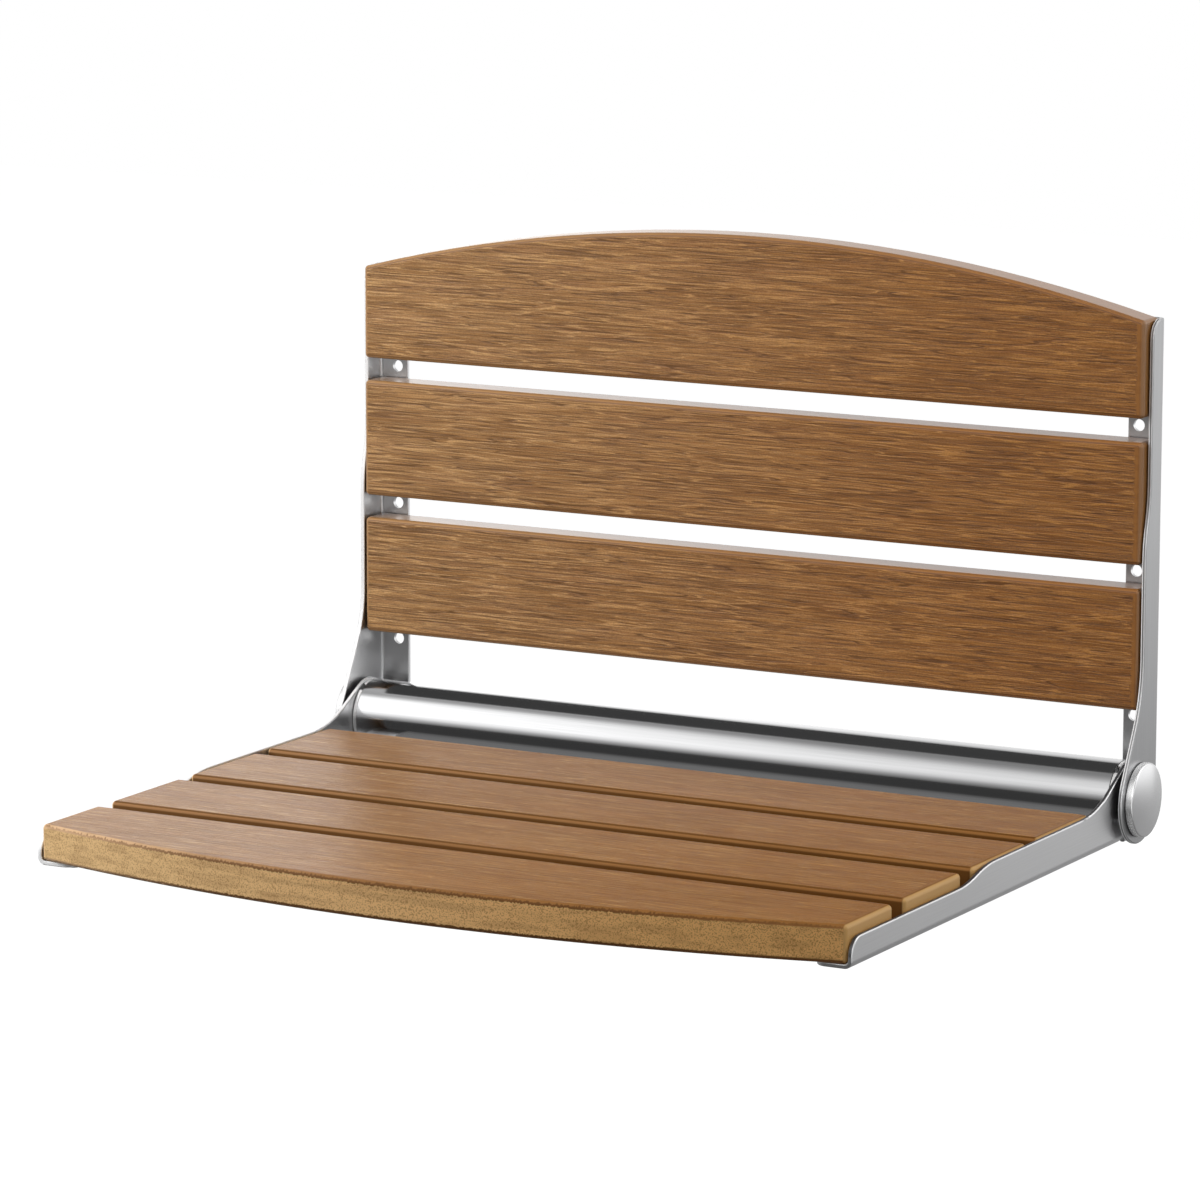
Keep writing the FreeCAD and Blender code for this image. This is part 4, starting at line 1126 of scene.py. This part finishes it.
@dataclass
class PivotSet:
    """The cross tube with what turns and locks at its ends."""

    tube: SteelFinish = SteelFinish("brushed_tube", Axis.ACROSS, roughness=0.13)
    fastener: SteelFinish = SteelFinish("plain_fastener", Axis.ACROSS, roughness=0.3)
    # The cap's side gets a near-white, duller middle tone: painted light on a side that the bracket shades.
    cap: SteelFinish = SteelFinish(
        "satin_cap", Axis.UP, (0.585, 0.585, 0.59), 0.15, cut_edge=CutEdge(
            0.2470, 0.2530, Axis.UP, -1.0, outer_border=0.0, left_painted_highlight=0.0, dullness=0.3,
            painted_middle_shade_and_light=(0.95, 0.95, 0.95), inside_painted_light_colour=(0.585, 0.585, 0.59),
        ),
    )
    # Painted highlight: the ring takes a near-white, half-metallic colour so that it reads bright in the
    # hubs' shade.
    ring: SteelFinish = SteelFinish("bright_ring", Axis.ACROSS, (0.92, 0.92, 0.92), 0.2, metallic=0.35)
    round_sides: int = 96
    dome_rings: int = 240
    dome_rise: float = 0.0013
    cut_threshold: float = 1e-7
    rim_round: float = 0.0009
    rim_steps: int = 5
    undercut: float = 0.0005
    mouth_radius: float = 0.0119
    mouth_depth: float = 0.0035
    ring_width: float = 0.0042
    ring_opening: float = 27.0
    ring_direction: float = 47.0
    ring_steps: int = 110
    ring_round: float = 0.0007
    ring_round_steps: int = 4
    ring_sharp: float = 0.9
    tip_reach: float = 0.01
    tip_round: float = 0.00195
    tip_steps: int = 8

    def build(self) -> List[str]:
        """Dress the tube and the small parts, and add the caps and rings.

        Returns:
            The names of all pieces.
        """
        names = dress(["cross_tube"], self.tube.build())
        hidden = ("_tube_plug", "_pivot_bolt", "_stop_pin")
        names += dress([side + part for side in SIDES for part in hidden], self.fastener.build())
        bush = PlasticFinish("dark_bush").build()
        names += dress([side + "_pivot_bush" for side in SIDES], bush)
        cap = self.cap.build()
        names += self.on_both_sides(self.shape_cap(), "domed_cap", cap, "satin_cap", "end_cap")
        ring = self.ring.build()
        return names + self.on_both_sides(self.shape_ring(), "open_ring", ring, "ring_metal", "split_ring")

    @staticmethod
    def on_both_sides(right: Piece, label: str, finish: Material, slot: str, node: str) -> List[str]:
        """Finish a right piece and mirror it to the left.

        Args:
            right: The right piece.
            label: The pieces' name without the side.
            finish: Their material.
            slot: The record's material slot; not used.
            node: The CAD node's name without the side.

        Returns:
            The names of both pieces.
        """
        close_up(right)
        left = copy_of(right, "left_" + label, Matrix.Scale(-1.0, 4, (1.0, 0.0, 0.0)))
        close_up(left)
        pairs = zip((left, right), SIDES)
        return [hand_over(piece, finish, "wall_frame", f"{side}_{node}") for piece, side in pairs]

    def shape_cap(self) -> Piece:
        """Model the right cap.

        Returns:
            A shallow dome with a rounded rim, hollow over the bolt's head.
        """
        low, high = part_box("right_end_cap")
        middle, radius = (low + high) / 2, (high.z - low.z) / 2
        dome_radius = (radius ** 2 + self.dome_rise ** 2) / (2 * self.dome_rise)
        rim = high.x - self.dome_rise
        cap = new_piece(
            bpy.ops.mesh.primitive_uv_sphere_add, "right_domed_cap", segments=self.round_sides,
            ring_count=self.dome_rings, radius=dome_radius,
            location=(high.x - dome_radius, middle.y, middle.z), rotation=(0.0, math.pi / 2, 0.0),
        )
        choose_all(cap)
        bpy.ops.mesh.bisect(
            plane_co=(rim, 0.0, 0.0), plane_no=(-1.0, 0.0, 0.0), clear_outer=True,
            threshold=self.cut_threshold,
        )
        choose(cap, Pick.EDGE, lambda place, run: abs(place.x - rim) < NEAR)
        extrude((low.x + self.undercut - rim, 0.0, 0.0))
        narrower = 1.0 - self.undercut / radius
        extrude((0.0, 0.0, 0.0), (1.0, narrower, narrower))
        extrude((-self.undercut, 0.0, 0.0))
        bpy.ops.mesh.edge_face_add()
        choose(cap, Pick.FACE, lambda place, normal: abs(place.x - low.x) < NEAR)
        bpy.ops.mesh.inset(thickness=radius - self.undercut - self.mouth_radius)
        extrude((self.mouth_depth, 0.0, 0.0))
        choose(cap, Pick.EDGE, lambda place, run: abs(place.x - rim) < NEAR and abs(run.x) < CROSSWISE)
        bpy.ops.mesh.bevel(offset=self.rim_round, segments=self.rim_steps, affect="EDGES")
        leave_edit()
        return cap

    def shape_ring(self) -> Piece:
        """Model the right ring.

        Returns:
            Its section swept round the tube, with round tips and edges.
        """
        low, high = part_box("right_split_ring")
        centre = (low + high) / 2
        reach = (high.z - low.z) / 2 - self.ring_width / 2
        overhang = math.degrees(self.ring_width / 2 / reach)
        first = math.radians(self.ring_direction + self.ring_opening / 2 - overhang)
        sweep = math.radians(360.0 - self.ring_opening + 2 * overhang)
        ring = new_piece(
            bpy.ops.mesh.primitive_plane_add, "right_open_ring", size=self.ring_width,
            location=(centre.x, centre.y - reach * math.cos(first), centre.z + reach * math.sin(first)),
            rotation=(math.pi - first, 0.0, 0.0),
        )
        choose_all(ring)
        bpy.ops.transform.resize(value=((high.x - low.x) / self.ring_width, 1.0, 1.0))
        bpy.ops.mesh.spin(steps=self.ring_steps, angle=sweep, center=centre, axis=(-1.0, 0.0, 0.0))

        def at_tip(place: Vector, run: Vector) -> bool:
            """Tell whether an edge lies at a tip and runs across the ring.

            Args:
                place: The edge's middle.
                run: Its direction.

            Returns:
                True for the edges that are rounded.
            """
            turn = math.atan2(place.z - centre.z, centre.y - place.y)
            off = [abs(math.remainder(turn - tip, 2 * math.pi)) for tip in (first, first + sweep)]
            return min(off) < self.tip_reach and abs(run.x) > ALONG

        choose(ring, Pick.EDGE, at_tip)
        bpy.ops.mesh.bevel(offset=self.tip_round, segments=self.tip_steps, affect="EDGES")
        leave_edit()
        close_up(ring)
        with_modifier(
            ring, "BEVEL", width=self.ring_round, segments=self.ring_round_steps, limit_method="ANGLE",
            angle_limit=self.ring_sharp,
        )
        return ring


# ------------------------------------------------------------------ studio


@dataclass
class Camera:
    """Where the seat is seen from."""

    place: Point = (1.517, -2.9552, 0.5664)
    turn: float = 28.699
    down: float = 10.306
    roll: float = 0.102
    lens: float = 179.67
    sensor: float = 36.0

    def build(self) -> None:
        """Add the camera."""
        turn, down, roll = (math.radians(angle) for angle in (self.turn, self.down, self.roll))
        ahead = Vector((-math.sin(turn) * math.cos(down), math.cos(turn) * math.cos(down), -math.sin(down)))
        right = Vector((math.cos(turn), math.sin(turn), 0.0))
        up = right.cross(ahead)
        rolled_right = right * math.cos(roll) + up * math.sin(roll)
        rolled_up = up * math.cos(roll) - right * math.sin(roll)
        matrix = Matrix((rolled_right, rolled_up, -ahead)).transposed().to_4x4()
        matrix.translation = Vector(self.place)
        data = bpy.data.cameras.new("camera")
        data.lens = self.lens
        data.sensor_width = self.sensor
        camera = bpy.data.objects.new("camera", data)
        camera.matrix_world = matrix
        bpy.context.scene.collection.objects.link(camera)
        bpy.context.scene.camera = camera


@dataclass(frozen=True)
class Lamp:
    """A soft square lamp: where it stands, what it points at, its size and its power in watts."""

    name: str
    place: Point
    target: Point
    size: float
    power: float

    def build(self) -> None:
        """Add the lamp, which the steel doesn't mirror."""
        data = bpy.data.lights.new(self.name, "AREA")
        data.shape = "RECTANGLE"
        data.size = data.size_y = self.size
        data.energy = self.power
        lamp = bpy.data.objects.new(self.name, data)
        lamp.location = self.place
        lamp.rotation_mode = "QUATERNION"
        lamp.rotation_quaternion = (Vector(self.target) - Vector(self.place)).to_track_quat("-Z", "Y")
        lamp.visible_glossy = False
        bpy.context.scene.collection.objects.link(lamp)


def hang(card: Piece, material: Material) -> None:
    """Let reflections, and nothing else, see a card.

    Args:
        card: The card.
        material: What it shows.
    """
    card.data.materials.append(material)
    card.visible_camera = False
    card.visible_diffuse = False
    card.visible_shadow = False
    card.visible_transmission = False


@dataclass(frozen=True)
class Flag:
    """A dark card with one visible side, which keeps the boards' brown out of the steel."""

    name: str
    level: float
    middle: Point
    size: Tuple[float, float]
    turn: float

    def build(self) -> None:
        """Add the flag, which is clear from behind."""
        material, tree = new_material(self.name)
        glow = tree.add("ShaderNodeEmission", {}, {"Strength": self.level})
        clear = tree.add("ShaderNodeBsdfTransparent", {}, {})
        behind = tree.signal("ShaderNodeNewGeometry", {}, {}, "Backfacing")
        both = tree.add("ShaderNodeMixShader", {}, {0: behind, 1: glow.outputs[0], 2: clear.outputs[0]})
        tree.add("ShaderNodeOutputMaterial", {}, {0: both.outputs[0]})
        card = new_piece(
            bpy.ops.mesh.primitive_plane_add, self.name, (*self.size, 1.0), size=1.0,
            location=self.middle, rotation=(math.radians(self.turn), 0.0, 0.0),
        )
        hang(card, material)


@dataclass
class Tent:
    """A wide tube of cards round the seat, flat just over the floor, that only steel and gloss show.

    The levels give the brightness over the angle about the cross tube, in degrees: 0 is straight out
    from the wall and 90 straight up. The left and the right zone share the low levels.
    """

    middle: Point = (0.0, -0.0245, -0.1215)
    radius: float = 2.2
    length: float = 9.0
    sides: int = 128
    bottom: float = -0.58
    gain: float = 3.0
    far_left_level: float = 0.55
    to_far_left: Tuple[float, float] = (-2.2, -1.9)
    to_right: Tuple[float, float] = (-1.65, -0.75)
    back_to_left: Tuple[float, float] = (0.1, 0.7)
    in_front: Tuple[float, float] = (-0.2, 0.2)
    to_outer: Tuple[float, float] = (0.95, 1.1)
    low_levels: Levels = (
        (-180.0, 1.25), (-176.0, 1.15), (-173.0, 0.95), (-170.0, 0.75), (-167.0, 0.60), (-163.0, 0.50),
        (-156.0, 0.44), (-140.0, 0.32), (-110.0, 0.24), (-64.0, 0.24), (-50.0, 0.22), (-40.0, 0.20),
        (-32.0, 0.10), (-24.0, 0.05),
    )
    left_levels: Levels = (
        (-8.0, 0.12), (0.0, 0.33), (7.0, 0.75), (14.0, 1.40), (22.0, 1.80), (60.0, 1.80), (66.0, 1.50),
        (72.0, 0.85), (79.0, 0.50), (88.0, 0.55), (97.0, 0.62), (112.0, 0.22), (132.0, 0.12),
        (142.0, 1.30), (150.0, 2.00),
    )
    right_levels: Levels = (
        (-8.0, 0.10), (0.0, 0.21), (8.0, 0.46), (16.0, 0.85), (26.0, 1.10), (40.0, 1.03), (52.0, 0.85),
        (62.0, 0.50), (72.0, 0.32), (82.0, 0.29), (97.0, 0.25), (112.0, 0.12), (128.0, 0.12),
        (140.0, 0.60), (150.0, 0.95),
    )
    outer_levels: Levels = (
        (-180.0, 1.20), (-177.0, 1.25), (-174.0, 1.70), (-172.0, 1.42), (-169.5, 0.94), (-167.0, 0.62),
        (-164.5, 0.50), (-160.0, 0.44), (-140.0, 0.40), (-90.0, 0.90), (-48.0, 1.00), (-20.0, 1.20),
        (0.0, 0.90), (9.0, 0.80), (20.0, 1.60), (29.0, 3.00), (38.0, 1.60), (55.0, 0.70), (80.0, 0.70),
        (105.0, 1.60), (125.0, 3.00), (140.0, 2.60), (150.0, 1.70),
    )

    def build(self) -> None:
        """Add the tent."""
        cards = self.dress_cards()
        tent = new_piece(
            bpy.ops.mesh.primitive_cylinder_add, "reflection_tent", vertices=self.sides,
            radius=self.radius, depth=self.length, end_fill_type="NOTHING",
            location=self.middle, rotation=(0.0, math.pi / 2, 0.0),
        )
        for vertex in tent.data.vertices:
            vertex.co.z = max(vertex.co.z, self.bottom)
        hang(tent, cards)

    def dress_cards(self) -> Material:
        """Make the light and dark bands, which change from one zone to the next.

        Returns:
            The cards' material.
        """
        material, tree = new_material("tent_cards")
        across = tree.along(Axis.ACROSS)
        ahead = self.middle[1] - tree.along(Axis.INWARD)
        above = tree.along(Axis.UP) - self.middle[2]
        turn = above.joined("ARCTAN2", above, ahead) / (2 * math.pi) + 0.5
        zones = (self.low_levels + self.left_levels, self.low_levels + self.right_levels, self.outer_levels)
        left, right, outer = (self.bands(tree, turn, levels) for levels in zones)
        left_again = across.between(*self.back_to_left) * ahead.between(*self.in_front)
        level = tree.mix(across.between(*self.to_right) * (1.0 - left_again), left, right)
        level = tree.mix(across.between(*self.to_outer), level, outer)
        far_left = (self.far_left_level / self.gain,) * 3
        level = tree.mix(across.between(*self.to_far_left), far_left, level)
        glow = tree.add("ShaderNodeEmission", {}, {"Color": level, "Strength": self.gain})
        tree.add("ShaderNodeOutputMaterial", {}, {0: glow.outputs[0]})
        return material

    def bands(self, tree: ShaderTree, turn: Signal, levels: Levels) -> Socket:
        """Turn levels into bands.

        Args:
            tree: The tent's tree.
            turn: The angle, as a share of the full circle from -180 degrees.
            levels: The angles with their levels.

        Returns:
            The brightness, as a share of the tent's gain.
        """
        stops = [((angle + 180.0) / 360.0, (level / self.gain,) * 3) for angle, level in levels]
        return tree.add("ShaderNodeValToRGB", {"stops": stops}, {0: turn}).outputs[0]


@dataclass
class Studio:
    """A pale floor, a white surround, soft lamps, and the cards that only steel and gloss show."""

    floor_height: float = -0.60
    floor_half: float = 6.0
    floor_colour: Colour = (0.3, 0.3, 0.3)
    floor_glow: float = 0.95
    ambient: float = 0.19
    lamps: Tuple[Lamp, ...] = (
        Lamp("key_lamp", (-1.00, -0.85, 0.52), (0.0, -0.08, -0.02), 0.8, 19.5),
        Lamp("top_lamp", (0.60, -0.28, 1.5), (0.0, -0.2, -0.12), 0.8, 10.0),
        Lamp("right_lamp", (1.8, -0.35, 0.25), (0.24, -0.2, -0.12), 0.6, 6.0),
        Lamp("rear_lamp", (0.50, 1.80, 0.10), (0.0, 0.0, 0.0), 0.8, 9.0),
    )
    flags: Tuple[Flag, ...] = (
        Flag("flag_over_seat", 0.17, (0.0, -0.2175, -0.1209), (0.470, 0.294), 0.0),
        Flag("flag_behind_seat", 0.05, (0.0, -0.0722, -0.1315), (0.470, 0.021), -90.0),
        Flag("flag_under_back", 0.06, (0.0, -0.0205, -0.0741), (0.480, 0.038), 180.0),
    )

    def build(self) -> None:
        """Add floor, world, tent, flags and lamps."""
        bpy.context.scene.view_settings.view_transform = "Standard"
        self.add_floor()
        self.fill_world()
        Tent().build()
        for item in self.flags + self.lamps:
            item.build()

    def add_floor(self) -> None:
        """Add the floor, which looks white wherever no shadow falls."""
        floor = new_piece(
            bpy.ops.mesh.primitive_plane_add, "floor", size=2 * self.floor_half,
            location=(0.0, 0.0, self.floor_height),
        )
        material, tree = new_material("pale_floor")
        matt = tree.add("ShaderNodeBsdfDiffuse", {}, {"Color": tree.opaque(self.floor_colour)})
        glow = tree.add("ShaderNodeEmission", {}, {"Strength": tree.seen() * self.floor_glow})
        both = tree.add("ShaderNodeAddShader", {}, {0: matt.outputs[0], 1: glow.outputs[0]})
        tree.add("ShaderNodeOutputMaterial", {}, {0: both.outputs[0]})
        floor.data.materials.append(material)

    def fill_world(self) -> None:
        """Light the scene evenly, from a surround that looks white."""
        world = bpy.data.worlds.new("studio")
        world.use_nodes = True
        bpy.context.scene.world = world
        tree = ShaderTree(world.node_tree)
        strength = tree.seen() * (1.0 - self.ambient) + self.ambient
        white = tree.opaque((1.0, 1.0, 1.0))
        light = tree.add("ShaderNodeBackground", {}, {"Color": white, "Strength": strength})
        tree.add("ShaderNodeOutputWorld", {}, {0: light.outputs[0]})


def main() -> None:
    """Build the seat's looks and the studio, and report each piece."""
    logging.basicConfig(level=logging.INFO, format="%(name)s: %(message)s")
    Camera().build()
    for assembly in (BackRest(), SeatPan(), SideFrames(), PivotSet()):
        for name in assembly.build():
            LOG.info("%s: %s", type(assembly).__name__, name)
    Studio().build()


if __name__ == "__main__":
    main()
